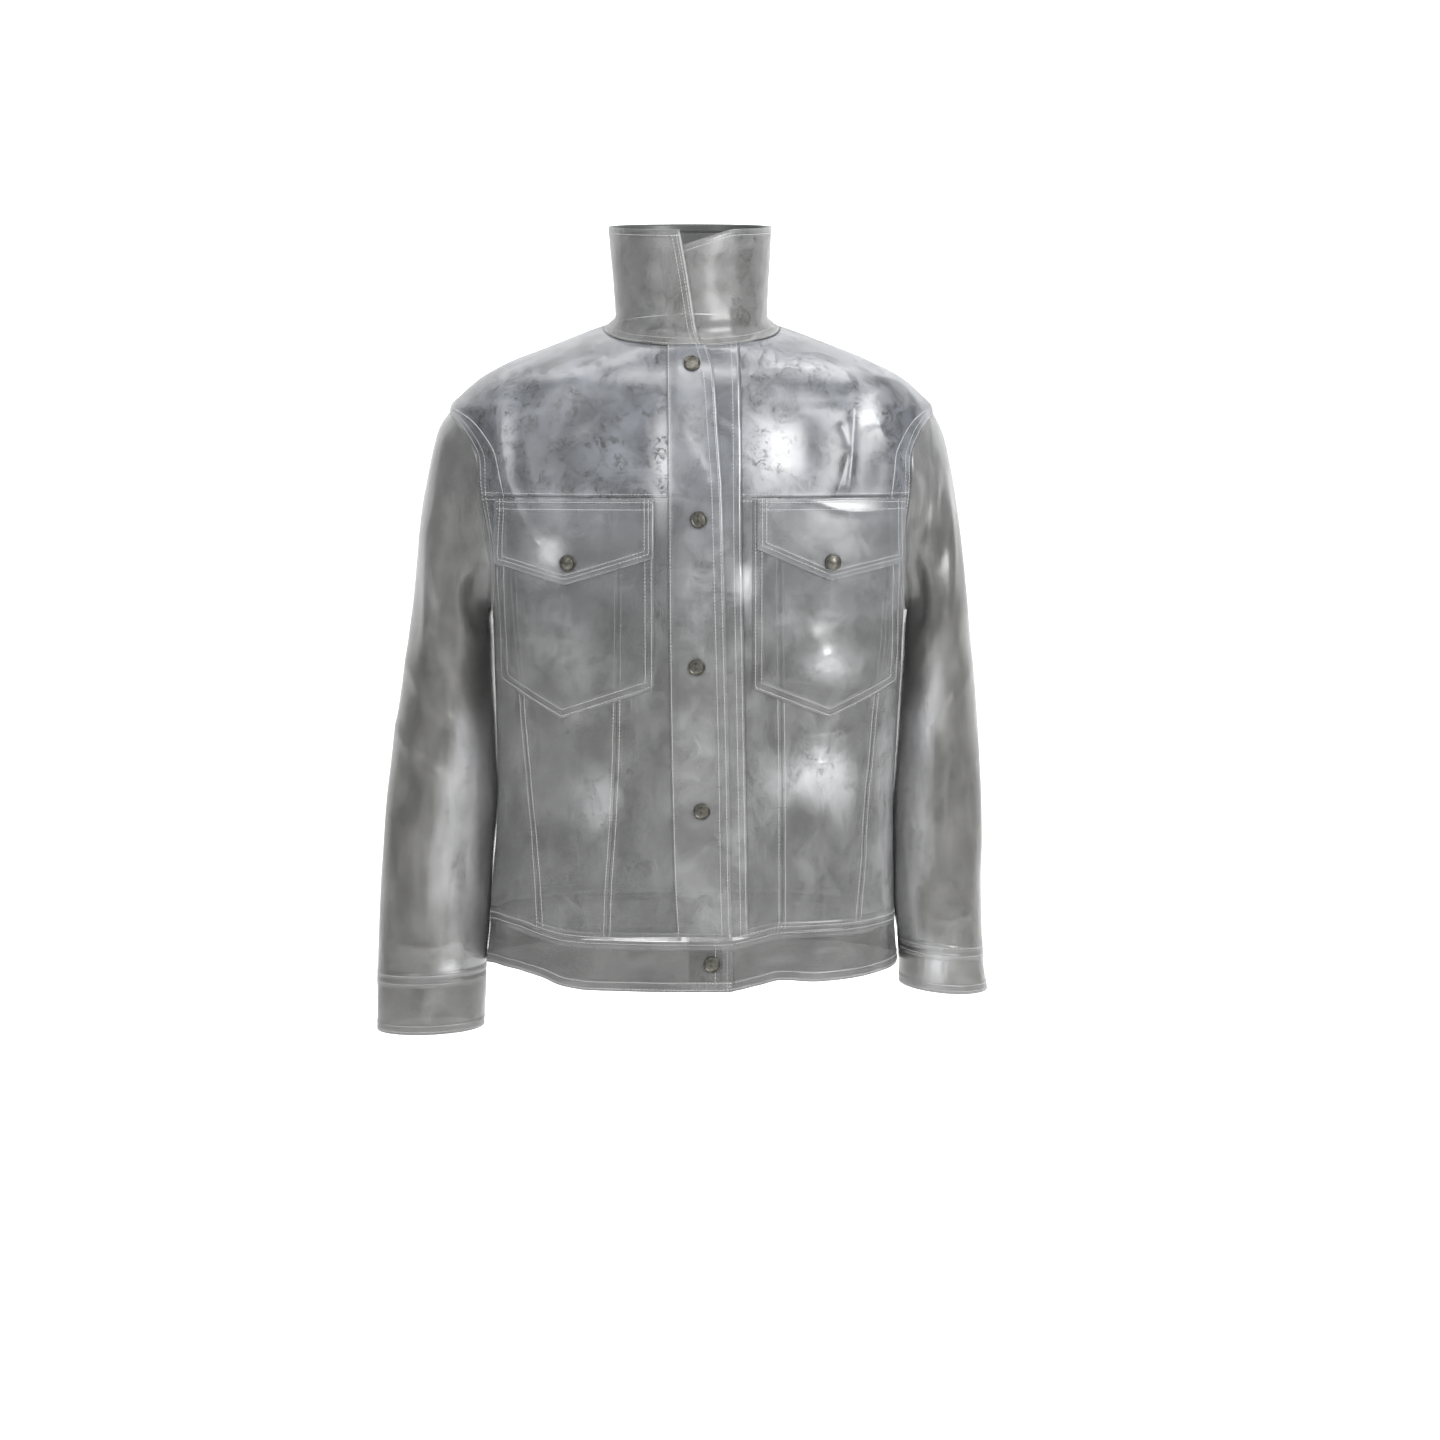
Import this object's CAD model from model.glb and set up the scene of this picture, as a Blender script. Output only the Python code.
"""Looks of the PVC jacket: translucent film, seams, stitches, snaps, light."""
import math
import bpy
import numpy as np
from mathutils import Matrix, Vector, noise


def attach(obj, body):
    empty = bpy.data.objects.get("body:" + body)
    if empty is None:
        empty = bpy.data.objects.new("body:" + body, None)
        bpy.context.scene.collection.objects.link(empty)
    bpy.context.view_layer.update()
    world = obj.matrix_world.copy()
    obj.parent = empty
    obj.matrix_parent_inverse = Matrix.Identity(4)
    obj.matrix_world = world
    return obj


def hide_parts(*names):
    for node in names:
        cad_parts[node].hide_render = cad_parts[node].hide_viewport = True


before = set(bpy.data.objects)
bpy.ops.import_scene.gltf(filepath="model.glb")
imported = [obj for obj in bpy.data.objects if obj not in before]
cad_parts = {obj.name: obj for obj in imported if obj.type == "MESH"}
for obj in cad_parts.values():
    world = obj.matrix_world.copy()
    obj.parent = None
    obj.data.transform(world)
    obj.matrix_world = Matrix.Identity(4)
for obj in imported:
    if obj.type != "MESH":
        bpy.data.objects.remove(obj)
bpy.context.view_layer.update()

# ======================================================================
# The jacket's form, as in the solids.  Metres, +Z up, +X the wearer's left.
# ======================================================================
WALL = 0.0010            # cloth wall of the solids
LAYER = 0.0020           # a piece lying on another: its outer face stands off
PLACKET_LAP = 0.0040     # front panel reaching under the top placket
UNDER_START = 0.0085     # under placket starts this far in from the top one
SNAP_GAP = 0.0006
SNAP_BACK_GAP = 0.0009
# --------------------------------------------------------------- the body
BODY_COLUMNS = ("v", "z", "tilt", "mid", "half", "front", "back", "square")
BODY = (
    (0, -0.6240, 0.00, -0.0006, 0.2083, 0.1300, 0.1200, 0.050),
    (1, -0.5746, 0.00, 0.0000, 0.2045, 0.1295, 0.1185, 0.050),
    (2, -0.5250, 0.00, 0.0010, 0.2029, 0.1290, 0.1170, 0.048),
    (3, -0.4530, 0.00, 0.0034, 0.1993, 0.1285, 0.1150, 0.046),
    (4, -0.3925, 0.00, 0.0045, 0.2007, 0.1310, 0.1145, 0.045),
    (5, -0.3300, 0.00, 0.0055, 0.2025, 0.1335, 0.1155, 0.045),
    (6, -0.2720, 0.00, 0.0061, 0.2040, 0.1350, 0.1170, 0.045),
    (7, -0.2100, 0.00, 0.0062, 0.2125, 0.1345, 0.1190, 0.045),
    (8, -0.1465, 0.00, 0.0050, 0.2250, 0.1300, 0.1190, 0.042),
    (9, -0.1047, 0.00, 0.0030, 0.2330, 0.1245, 0.1170, 0.035),
    (10, -0.0646, 0.05, 0.0000, 0.2392, 0.1200, 0.1120, 0.025),
    (11, -0.0469, 0.08, 0.0000, 0.2250, 0.1180, 0.1075, 0.020),
    (12, -0.0312, 0.11, 0.0000, 0.2051, 0.1155, 0.1020, 0.020),
    (13, -0.0155, 0.14, 0.0000, 0.1737, 0.1110, 0.0960, 0.015),
    (14, 0.0002, 0.17, 0.0000, 0.1306, 0.1040, 0.0860, 0.010),
    (15, 0.0125, 0.20, 0.0000, 0.0965, 0.0955, 0.0770, 0.005),
    (16, 0.0155, 0.22, 0.0000, 0.0870, 0.0905, 0.0745, 0.000),
)

# The waist is hitched up on both sides of the front, over the hips.
HITCH_COLUMNS = ("phi", "hem", "seam")
HITCH = (
    (-180, 0.0000, 0.0000), (-135, 0.0000, 0.0000), (-105, 0.0030, 0.0030),
    (-84, 0.0058, 0.0056), (-60, 0.0150, 0.0130), (-50, 0.0150, 0.0122),
    (-39, 0.0108, 0.0060), (-31, 0.0030, 0.0015), (-24, 0.0000, 0.0005),
    (8, 0.0000, 0.0005), (15, 0.0056, 0.0062), (21, 0.0102, 0.0110),
    (31, 0.0074, 0.0110), (45, 0.0082, 0.0108), (56, 0.0094, 0.0110),
    (80, 0.0070, 0.0070), (105, 0.0040, 0.0040), (135, 0.0000, 0.0000),
    (180, 0.0000, 0.0000),
)
HITCH_TOP = 4.5          # the hitch has died away by this ring

# Largest folds of the body: a soft ridge from one (phi, v) to another.
BODY_FOLD_COLUMNS = ("phi_a", "v_a", "phi_b", "v_b", "width", "height")
BODY_FOLDS = (
    (-66, 9.2, -50, 5.6, 11.0, 0.0025),
    (50, 9.6, 57, 5.0, 11.0, 0.0025),
    (-128, 6.6, -130, 1.2, 9.0, 0.0030),
    (127, 6.6, 131, 1.2, 9.0, 0.0030),
    (146, 8.2, 152, 1.2, 9.0, 0.0030),
    (181, 9.0, 178, 2.4, 10.0, 0.0030),
    (214, 8.2, 208, 1.2, 9.0, 0.0030),
)

# Armhole loop, psi 0 at the shoulder tip and 180 at the underarm.
ARMHOLE_COLUMNS = ("psi", "v", "phi_front", "phi_back")
ARMHOLE = (
    (0.0, 10.00, 97.0, 97.0), (23.2, 9.80, 78.0, 108.0),
    (40.8, 9.40, 66.0, 117.0), (59.3, 8.80, 60.0, 122.0),
    (80.0, 8.00, 62.0, 122.0), (110.0, 7.20, 63.0, 118.0),
    (131.4, 6.70, 67.5, 112.0), (151.0, 6.35, 76.0, 103.0),
    (180.0, 6.15, 90.0, 90.0),
)
UNDERARM = 6.15
YOKE = 8.0
SHOULDER_TIP = 10.0
NECK = 16.0
SHOULDER_SEAM = 97.0
SIDE_SEAM = 90.0

# ------------------------------------------ seams of the fronts, x at height z
SEAM_COLUMNS = ("z", "x")
SEAM_A_R = ((-0.5628, -0.0814), (-0.5294, -0.0802), (-0.4618, -0.0755),
            (-0.4345, -0.0739), (-0.3879, -0.0718), (-0.3242, -0.0705),
            (-0.2104, -0.0689), (-0.1488, -0.0695))
SEAM_A_L = ((-0.5628, 0.0880), (-0.4345, 0.0876), (-0.3395, 0.0864),
            (-0.2458, 0.0851), (-0.1488, 0.0840))
SEAM_B_R = ((-0.5635, -0.1478), (-0.4950, -0.1520), (-0.4220, -0.1582),
            (-0.3450, -0.1632), (-0.1488, -0.1731))
SEAM_B_L = ((-0.5628, 0.1635), (-0.4950, 0.1694), (-0.4220, 0.1737),
            (-0.3450, 0.1790), (-0.3160, 0.1821), (-0.2660, 0.1851),
            (-0.2100, 0.1880), (-0.1488, 0.1900))
TOP_EDGE = ((-0.5650, -0.0136), (-0.5340, -0.0155), (-0.3879, -0.0190),
            (-0.2438, -0.0206), (-0.1000, -0.0211), (-0.0370, -0.0222))
FREE_EDGE = ((-0.5650, 0.0396), (-0.5340, 0.0386), (-0.4020, 0.0366),
             (-0.3200, 0.0347), (-0.2060, 0.0318), (-0.1400, 0.0299),
             (-0.0850, 0.0261), (-0.0240, 0.0214), (-0.0030, 0.0146))
UNDER_EDGE = ((-0.5650, 0.0556), (-0.5340, 0.0551), (-0.2950, 0.0509),
              (-0.2000, 0.0490), (-0.0500, 0.0478), (-0.0100, 0.0460))

BAND_UNDER_END_X = -0.0021
BAND_OUTER_END_X = 0.0406

# ------------------------------------------------------- pockets and flaps
# Corners of the lower outline, from the placket side by the tip to the arm side.
POCKET_COLUMNS = ("x", "bottom", "strips")
POCKET_R = ((-0.0345, -0.3275, 3), (-0.1235, -0.3585, 5), (-0.1850, -0.3250, 0))
POCKET_L = ((0.0590, -0.3280, 3), (0.1332, -0.3580, 6), (0.2000, -0.3280, 0))
FLAP_R = ((-0.0344, -0.2035, 3), (-0.1190, -0.2296, 5), (-0.1860, -0.2101, 0))
FLAP_L = ((0.0626, -0.1948, 3), (0.1335, -0.2257, 6), (0.2042, -0.2090, 0))
POCKET_TOP = -0.1492     # just under the yoke seam
# ----------------------------------------------------------------- sleeves
SLEEVE_COLUMNS = ("t", "x_out", "z_out", "x_in", "z_in", "y_mid", "depth")
SLEEVE_R = (
    (0, 0.2375, -0.0646, 0.2055, -0.2620, 0.006, 0.0820),
    (1, 0.2500, -0.0820, 0.2050, -0.2620, 0.012, 0.0780),
    (2, 0.2605, -0.1120, 0.2035, -0.2680, 0.018, 0.0790),
    (3, 0.2732, -0.1740, 0.2020, -0.2880, 0.024, 0.0780),
    (4, 0.2819, -0.2540, 0.2008, -0.3250, 0.026, 0.0730),
    (5, 0.2942, -0.3340, 0.1998, -0.3750, 0.024, 0.0660),
    (6, 0.3055, -0.4155, 0.1998, -0.4320, 0.018, 0.0600),
    (7, 0.3144, -0.4970, 0.2036, -0.5000, 0.010, 0.0540),
    (8, 0.3195, -0.5800, 0.2090, -0.5760, 0.003, 0.0470),
    (9, 0.3215, -0.6360, 0.2112, -0.6310, -0.001, 0.0400),
    (10, 0.3225, -0.6920, 0.2145, -0.6880, -0.003, 0.0370),
)
SLEEVE_L = (
    (0, 0.2375, -0.0646, 0.2055, -0.2620, 0.006, 0.0820),
    (1, 0.2475, -0.0840, 0.2128, -0.2620, 0.012, 0.0780),
    (2, 0.2563, -0.1120, 0.2134, -0.2680, 0.018, 0.0790),
    (3, 0.2682, -0.1740, 0.2132, -0.2880, 0.024, 0.0780),
    (4, 0.2775, -0.2540, 0.2116, -0.3220, 0.026, 0.0730),
    (5, 0.2846, -0.3340, 0.2094, -0.3680, 0.024, 0.0670),
    (6, 0.2904, -0.4100, 0.2070, -0.4200, 0.018, 0.0610),
    (7, 0.2941, -0.4850, 0.2062, -0.4800, 0.010, 0.0550),
    (8, 0.2949, -0.5520, 0.2074, -0.5450, 0.004, 0.0490),
    (9, 0.2961, -0.6080, 0.2100, -0.6000, 0.001, 0.0450),
    (10, 0.3009, -0.6500, 0.2115, -0.6430, -0.001, 0.0430),
)
SLEEVE_TO_LOOP = 3.0     # the armhole's own outline has died away by here
SLEEVE_FOLD_COLUMNS = ("side", "psi_a", "t_a", "psi_b", "t_b", "width", "height")
SLEEVE_FOLDS = (
    (-1, 118, 0.5, 128, 3.4, 17.0, -0.0080),
    (1, 118, 0.5, 128, 3.4, 17.0, -0.0080),
    (-1, 62, 2.6, 78, 8.6, 17.0, 0.0030),
    (-1, 290, 2.6, 268, 8.6, 17.0, 0.0030),
    (1, 34, 2.0, 118, 5.2, 15.0, 0.0030),
    (1, 300, 2.2, 268, 8.4, 17.0, 0.0030),
)

# ------------------------------------------------------------------ collar
COLLAR_COLUMNS = ("s", "z", "tilt", "mid", "half", "front", "back",
                  "phi_under", "phi_outer")
COLLAR = (
    (0, 0.0155, 0.22, 0.0000, 0.0870, 0.0905, 0.0745, -12.6, 368.4),
    (1, 0.0215, 0.20, 0.0000, 0.0800, 0.0870, 0.0720, -14.2, 366.2),
    (2, 0.0290, 0.18, 0.0000, 0.0752, 0.0850, 0.0700, -15.8, 364.2),
    (3, 0.0560, 0.15, -0.0005, 0.0765, 0.0850, 0.0705, -18.6, 361.0),
    (4, 0.0860, 0.12, -0.0010, 0.0788, 0.0858, 0.0720, -21.4, 357.4),
    (5, 0.1145, 0.10, -0.0015, 0.0805, 0.0868, 0.0740, -24.0, 353.8),
)
COLLAR_DIP_COLUMNS = ("phi", "drop")
COLLAR_DIP = ((-30, 0.024), (-22, 0.022), (-5, 0.014), (9, 0.008),
              (35, 0.000), (400, 0.000))
COLLAR_SIDES = 30

# ------------------------------------------------------------------- snaps
SNAP_COLUMNS = ("place", "x", "z", "layers", "on")
SNAPS = (
    ("front_1", 0.0014, -0.0219, 1, "body"),
    ("front_2", 0.0081, -0.1673, 1, "body"),
    ("front_3", 0.0060, -0.3069, 1, "body"),
    ("front_4", 0.0107, -0.4466, 1, "body"),
    ("waist", 0.0202, -0.5964, 1, "body"),
    ("flap_r", -0.1153, -0.2087, 2, "body"),
    ("flap_l", 0.1343, -0.2077, 2, "body"),
)
class Track:
    """A smooth curve through one column of a table, without overshoot."""

    def __init__(self, at, value, flat_ends=False):
        self.at = np.asarray(at, float)
        self.value = np.asarray(value, float)
        gap = np.diff(self.at)
        rise = np.diff(self.value) / gap
        slope = np.zeros_like(self.value)
        for k in range(1, len(gap)):
            if rise[k - 1] * rise[k] > 0:
                wa = 2 * gap[k] + gap[k - 1]
                wb = gap[k] + 2 * gap[k - 1]
                slope[k] = (wa + wb) / (wa / rise[k - 1] + wb / rise[k])
        if not flat_ends:
            slope[0], slope[-1] = rise[0], rise[-1]
        self.slope = slope

    def __call__(self, q):
        q = np.asarray(q, float)
        k = np.clip(np.searchsorted(self.at, q, side="right") - 1,
                    0, len(self.at) - 2)
        gap = self.at[k + 1] - self.at[k]
        u = (q - self.at[k]) / gap
        inside = np.clip(u, 0.0, 1.0)
        a, b = self.value[k], self.value[k + 1]
        ma, mb = self.slope[k] * gap, self.slope[k + 1] * gap
        w = inside
        mid = ((1 + 2 * w) * (1 - w) ** 2 * a + w * (1 - w) ** 2 * ma
               + w * w * (3 - 2 * w) * b + w * w * (w - 1) * mb)
        return mid + np.where(u < 0, u * ma, 0) + np.where(u > 1, (u - 1) * mb, 0)


def tracks(columns, rows, **options):
    """One Track for each column of a table, on its first column."""
    data = {name: [row[i] for row in rows] for i, name in enumerate(columns)}
    first = data[columns[0]]
    return {name: Track(first, data[name], **options) for name in columns[1:]}


def smooth(u):
    u = np.clip(u, 0.0, 1.0)
    return u * u * (3 - 2 * u)


RING = tracks(BODY_COLUMNS, BODY)
HITCH_T = tracks(HITCH_COLUMNS, HITCH)
PSI = np.linspace(0.0, 180.0, 721)
LOOP_V = Track([r[0] for r in ARMHOLE], [r[1] for r in ARMHOLE], flat_ends=True)
LOOP_FRONT = Track([r[0] for r in ARMHOLE], [r[2] for r in ARMHOLE])
LOOP_BACK = Track([r[0] for r in ARMHOLE], [r[3] for r in ARMHOLE])
SLEEVE_T = {-1: tracks(SLEEVE_COLUMNS, SLEEVE_R), 1: tracks(SLEEVE_COLUMNS, SLEEVE_L)}
COLLAR_T = tracks(COLLAR_COLUMNS, COLLAR)
COLLAR_DROP = Track([r[0] for r in COLLAR_DIP], [r[1] for r in COLLAR_DIP])


def oval(phi, mid, half, front, back, square):
    """A point of a ring in plan: round, drawn a little towards a rectangle."""
    a = np.radians(phi)
    x = mid + half * (np.sin(a) + square * np.sin(3 * a)) / (1 - square)
    c = (np.cos(a) - square * np.cos(3 * a)) / (1 - square)
    return x, -np.where(c > 0, front, back) * c


def hitch(phi, v):
    wrapped = (np.asarray(phi, float) + 180.0) % 360.0 - 180.0
    hem, seam = HITCH_T["hem"](wrapped), HITCH_T["seam"](wrapped)
    low = np.clip(v, 0.0, 1.0)
    fade = 1 - smooth((np.asarray(v, float) - 1.0) / (HITCH_TOP - 1.0))
    return (hem * (1 - low) + seam * low) * fade


def body_plain(phi, v):
    phi, v = np.broadcast_arrays(np.asarray(phi, float), np.asarray(v, float))
    x, y = oval(phi, RING["mid"](v), RING["half"](v), RING["front"](v),
                RING["back"](v), RING["square"](v))
    z = RING["z"](v) + RING["tilt"](v) * y + hitch(phi, v)
    return np.stack([x, y, z], axis=-1)


def normals(surface, a, b, step_a, step_b):
    """Outward normals of surface(a, b), from small steps along both."""
    da = surface(a + step_a, b) - surface(a - step_a, b)
    db = surface(a, b + step_b) - surface(a, b - step_b)
    n = np.cross(da, db)
    return n / np.linalg.norm(n, axis=-1, keepdims=True)


def ridge(a, b, a0, b0, a1, b1, width, height):
    """Height of one soft fold that runs from (a0, b0) to (a1, b1)."""
    u = (b - b0) / (b1 - b0)
    off = (a - (a0 + (a1 - a0) * np.clip(u, 0, 1)) + 180.0) % 360.0 - 180.0
    ends = smooth((u + 0.12) / 0.3) * smooth((1.12 - u) / 0.3)
    return height * ends * np.exp(-(off / width) ** 2)


def body(phi, v, lift=0.0):
    """A point of the body's outer face, or of a layer that stands off it."""
    phi, v = np.broadcast_arrays(np.asarray(phi, float), np.asarray(v, float))
    out = np.zeros(phi.shape) + lift
    for pa, va, pb, vb, width, height in BODY_FOLDS:
        out = out + ridge(phi, v, pa, va, pb, vb, width, height)
    n = normals(body_plain, phi, v, 0.05, 0.004)
    return body_plain(phi, v) + n * out[..., None]


def phi_at_x(x, v):
    """The angle, on the front, at which ring v reaches x."""
    x, v = np.broadcast_arrays(np.asarray(x, float), np.asarray(v, float))
    e = RING["square"](v)
    goal = (x - RING["mid"](v)) / RING["half"](v) * (1 - e)
    a = np.arcsin(np.clip(goal * 0.97, -0.995, 0.995))
    for _ in range(12):
        f = np.sin(a) + e * np.sin(3 * a) - goal
        d = np.cos(a) + 3 * e * np.cos(3 * a)
        a = np.clip(a - f / np.where(np.abs(d) < 0.05, 0.05, d), -1.55, 1.55)
    return np.degrees(a)


def front_angles(x, z):
    """(phi, v) of the front's point that shows at x and z."""
    x, z = np.broadcast_arrays(np.asarray(x, float), np.asarray(z, float))
    low, high = np.zeros(x.shape), np.full(x.shape, NECK)
    for _ in range(34):
        v = (low + high) / 2
        up = body_plain(phi_at_x(x, v), v)[..., 2] < z
        low, high = np.where(up, v, low), np.where(up, high, v)
    v = (low + high) / 2
    return phi_at_x(x, v), v


def edge_phi(edge, v, shift=0.0):
    """The angle of a front seam, given as x at height z, on each ring v."""
    v = np.asarray(v, float)
    x_of = Track([r[0] for r in edge], [r[1] for r in edge])
    y = np.full(v.shape, -0.125)
    for _ in range(6):
        phi = phi_at_x(x_of(RING["z"](v) + RING["tilt"](v) * y) + shift, v)
        y = body_plain(phi, v)[..., 1]
    return phi


def armhole_phi(v, front=True):
    """The armhole's angle on ring v, or the side or shoulder seam beyond it."""
    loop = (LOOP_FRONT if front else LOOP_BACK)(PSI)
    phi = np.interp(v, LOOP_V(PSI)[::-1], loop[::-1])
    phi = np.where(np.asarray(v) >= SHOULDER_TIP, SHOULDER_SEAM, phi)
    return np.where(np.asarray(v) <= UNDERARM, SIDE_SEAM, phi)


def sleeve_ring(side, psi, t):
    tab = SLEEVE_T[side]
    a = np.radians(psi)
    x_out, x_in = tab["x_out"](t), tab["x_in"](t)
    z_out, z_in = tab["z_out"](t), tab["z_in"](t)
    x = (x_out + x_in) / 2 + (x_out - x_in) / 2 * np.cos(a)
    z = (z_out + z_in) / 2 + (z_out - z_in) / 2 * np.cos(a)
    y = tab["y_mid"](t) - tab["depth"](t) * np.sin(a)
    return np.stack([side * x, y, z], axis=-1)


def armhole_point(side, psi):
    psi = np.asarray(psi, float) % 360.0
    folded = np.minimum(psi, 360.0 - psi)
    phi = np.where(psi <= 180.0, LOOP_FRONT(folded), LOOP_BACK(folded))
    return body(side * phi, LOOP_V(folded))


def sleeve_plain(side, psi, t):
    psi, t = np.broadcast_arrays(np.asarray(psi, float), np.asarray(t, float))
    keep = 1 - smooth(t / SLEEVE_TO_LOOP)
    pull = armhole_point(side, psi) - sleeve_ring(side, psi, np.zeros(t.shape))
    return sleeve_ring(side, psi, t) + pull * keep[..., None]


def sleeve(side, psi, t, lift=0.0):
    psi, t = np.broadcast_arrays(np.asarray(psi, float), np.asarray(t, float))
    out = np.zeros(psi.shape) + lift
    for which, pa, ta, pb, tb, width, height in SLEEVE_FOLDS:
        if which == side:
            out = out + ridge(psi, t, pa, ta, pb, tb, width, height)
    n = normals(lambda a, b: sleeve_plain(side, a, b), psi, t, 0.2, 0.004)
    return sleeve_plain(side, psi, t) + n * (side * out)[..., None]


def collar_plain(phi, s):
    phi, s = np.broadcast_arrays(np.asarray(phi, float), np.asarray(s, float))
    x, y = oval(phi, COLLAR_T["mid"](s), COLLAR_T["half"](s),
                COLLAR_T["front"](s), COLLAR_T["back"](s), 0.0)
    return np.stack([x, y, COLLAR_T["z"](s) + COLLAR_T["tilt"](s) * y], axis=-1)


def collar(phi, s, lift=0.0):
    n = normals(collar_plain, phi, s, 0.05, 0.004)
    return collar_plain(phi, s) + n * (np.zeros(np.shape(phi)) + lift)[..., None]

# ======================================================================
# Relief: creases, folds and waviness of the film
# ======================================================================
EYE = np.array((0.028, -2.5, -0.055))
PITCH = 82.71
DOWN, AHEAD = math.cos(math.radians(PITCH)), math.sin(math.radians(PITCH))


def seen(p):
    """Where a point shows in the front view: 1440 units wide, about 1 mm each."""
    x, y, z = (p[..., k] - EYE[k] for k in range(3))
    depth = y * AHEAD - z * DOWN
    return np.stack([720 + 2500 * x / depth,
                     720 - 2500 * (y * DOWN + z * AHEAD) / depth], axis=-1)


def rounded_path(points, times=2):
    """Corner-cut a polyline, keeping its ends."""
    p = np.asarray(points, float)
    for _ in range(times if len(p) > 2 else 0):
        a, b = p[:-1], p[1:]
        cut = np.stack([a * 0.75 + b * 0.25, a * 0.25 + b * 0.75], 1).reshape(-1, 2)
        p = np.concatenate([p[:1], cut[1:-1], p[-1:]])
    return p


def crease_height(q, table):
    """Sum of the table's creases at places q, in millimetres.

    A row is (profile, width, height, taper, points...): profile "soft" is a
    round ridge, "sharp" a ridge with a tight crest, "step" a slope that is
    steep on the side to the right of its direction.
    """
    shape = q.shape[:-1]
    q = q.reshape(-1, 2)
    total = np.zeros(len(q))
    for profile, width, height, taper, *points in table:
        path = rounded_path(points)
        reach = width * (2.4 if profile == "soft" else 4.0)
        near = np.all((q > path.min(0) - reach) & (q < path.max(0) + reach), axis=1)
        if not near.any():
            continue
        w = q[near]
        best = np.full(len(w), 1e9)
        along = np.zeros(len(w))
        side = np.zeros(len(w))
        gone, length = 0.0, np.linalg.norm(np.diff(path, axis=0), axis=1).sum()
        for a, b in zip(path, path[1:]):
            d = b - a
            size = np.linalg.norm(d)
            if size < 1e-6:
                continue
            raw = (w - a) @ d / size ** 2
            u = np.clip(raw, 0, 1)
            off = w - a - u[:, None] * d
            dist = np.linalg.norm(off, axis=1)
            closer = dist < best
            best[closer] = dist[closer]
            along[closer] = (gone + u[closer] * size) / length
            side[closer] = np.sign(off[closer, 0] * d[1] - off[closer, 1] * d[0])
            gone += size
        if profile == "soft":
            h = np.exp(-(best / width) ** 2)
        elif profile == "sharp":
            h = np.exp(-(np.sqrt(best ** 2 + (0.35 * width) ** 2) / width - 0.35))
        else:
            h = np.where(side > 0, np.exp(-(best / (0.45 * width)) ** 2),
                         np.exp(-(best / (1.6 * width)) ** 2))
        ends = smooth(along / taper) * smooth((1 - along) / taper) if taper else 1.0
        total[near] += height * h * ends
    return total.reshape(shape)


def waves(p, scale, seed, octaves=1):
    """Smooth noise between about -1 and 1, with features `scale` metres wide."""
    flat = p.reshape(-1, 3) / scale + np.array((seed * 7.13, seed * 3.7, seed * 1.9))
    out = [noise.noise(Vector(c)) for c in flat]
    h = np.array(out)
    if octaves > 1:
        h = h + 0.5 * waves(p, scale / 2, seed + 3, octaves - 1).reshape(-1)
    return h.reshape(p.shape[:-1])


def crinkle(p, scale, seed):
    """Noise with narrow crests, as creased film has."""
    return 1.0 - 2.6 * np.abs(waves(p, scale, seed))


def relief(p, n, zone):
    """How far the film stands out at surface points p, in metres."""
    front = smooth((-n[..., 1] - 0.04) / 0.3)
    behind = smooth((n[..., 1] - 0.04) / 0.3)
    h = np.zeros(p.shape[:-1])
    if front.any():
        h = h + front * crease_height(seen(p), CREASES.get(zone, ()))
    if behind.any():
        h = h + behind * crease_height(p[..., (0, 2)] * 1000.0,
                                       CREASES.get(zone + "_back", ()))
    amount, broad, small, sharp = WAVINESS[zone]
    q = p * np.array((1.0, 0.7, 0.62))           # longer along the drop
    h = h + amount * (broad * waves(q, 0.085, 1.0) + small * waves(q, 0.033, 2.0)
                      + sharp * crinkle(q, 0.060, 3.0) + 0.05 * waves(p, 0.012, 5.0))
    return h / 1000.0


WAVINESS_COLUMNS = ("amount", "broad", "small", "sharp")
WAVINESS = {
    "body": (1.0, 1.5, 0.45, 0.35),
    "arm_r": (1.0, 1.8, 0.50, 0.45),
    "arm_l": (1.0, 1.8, 0.50, 0.45),
    "neck": (0.6, 1.0, 0.45, 0.30),
}


def skin(phi, v, lift=0.0):
    """A point of the body's film, creased."""
    phi, v = np.broadcast_arrays(np.asarray(phi, float), np.asarray(v, float))
    base = body(phi, v)
    n = normals(body_plain, phi, v, 0.05, 0.004)
    return base + n * (relief(base, n, "body") + lift)[..., None]


SIDE_LAP = 0.0010        # the sleeve's inner edge goes this far behind the body's side


def side_gap(side):
    """By height in the view: the sleeve's inner edge, and how far it may lean in."""
    psi, t = np.meshgrid(np.linspace(0, 360, 73), np.linspace(1.5, 10.6, 90), indexing="ij")
    arm_points = sleeve(side, psi, t)
    phi, v = np.meshgrid(np.linspace(-180, 180, 181), np.linspace(0, 10, 90), indexing="ij")
    body_points = body(phi, v)
    arm_seen, body_seen = seen(arm_points), seen(body_points)
    middle = 720.0 - 2500.0 * EYE[0] / 2.5
    heights = np.arange(540.0, 1046.0, 8.0)
    lean, inside = [], []
    for y in heights:
        a = np.abs(arm_seen[..., 1] - y) < 7.0
        b = np.abs(body_seen[..., 1] - y) < 7.0
        if not a.any() or not b.any():
            lean.append(0.0)
            inside.append(inside[-1] if inside else 200.0)
            continue
        inside.append((side * (arm_seen[..., 0][a] - middle)).min())
        gap = inside[-1] - (side * (body_seen[..., 0][b] - middle)).max()
        lean.append(min(max(0.0, gap / 1000.0 + SIDE_LAP), 0.010))
    lean = np.convolve(np.pad(lean, 2, mode="edge"), np.ones(5) / 5, mode="valid")
    return heights, np.array(inside), lean, middle


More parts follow.
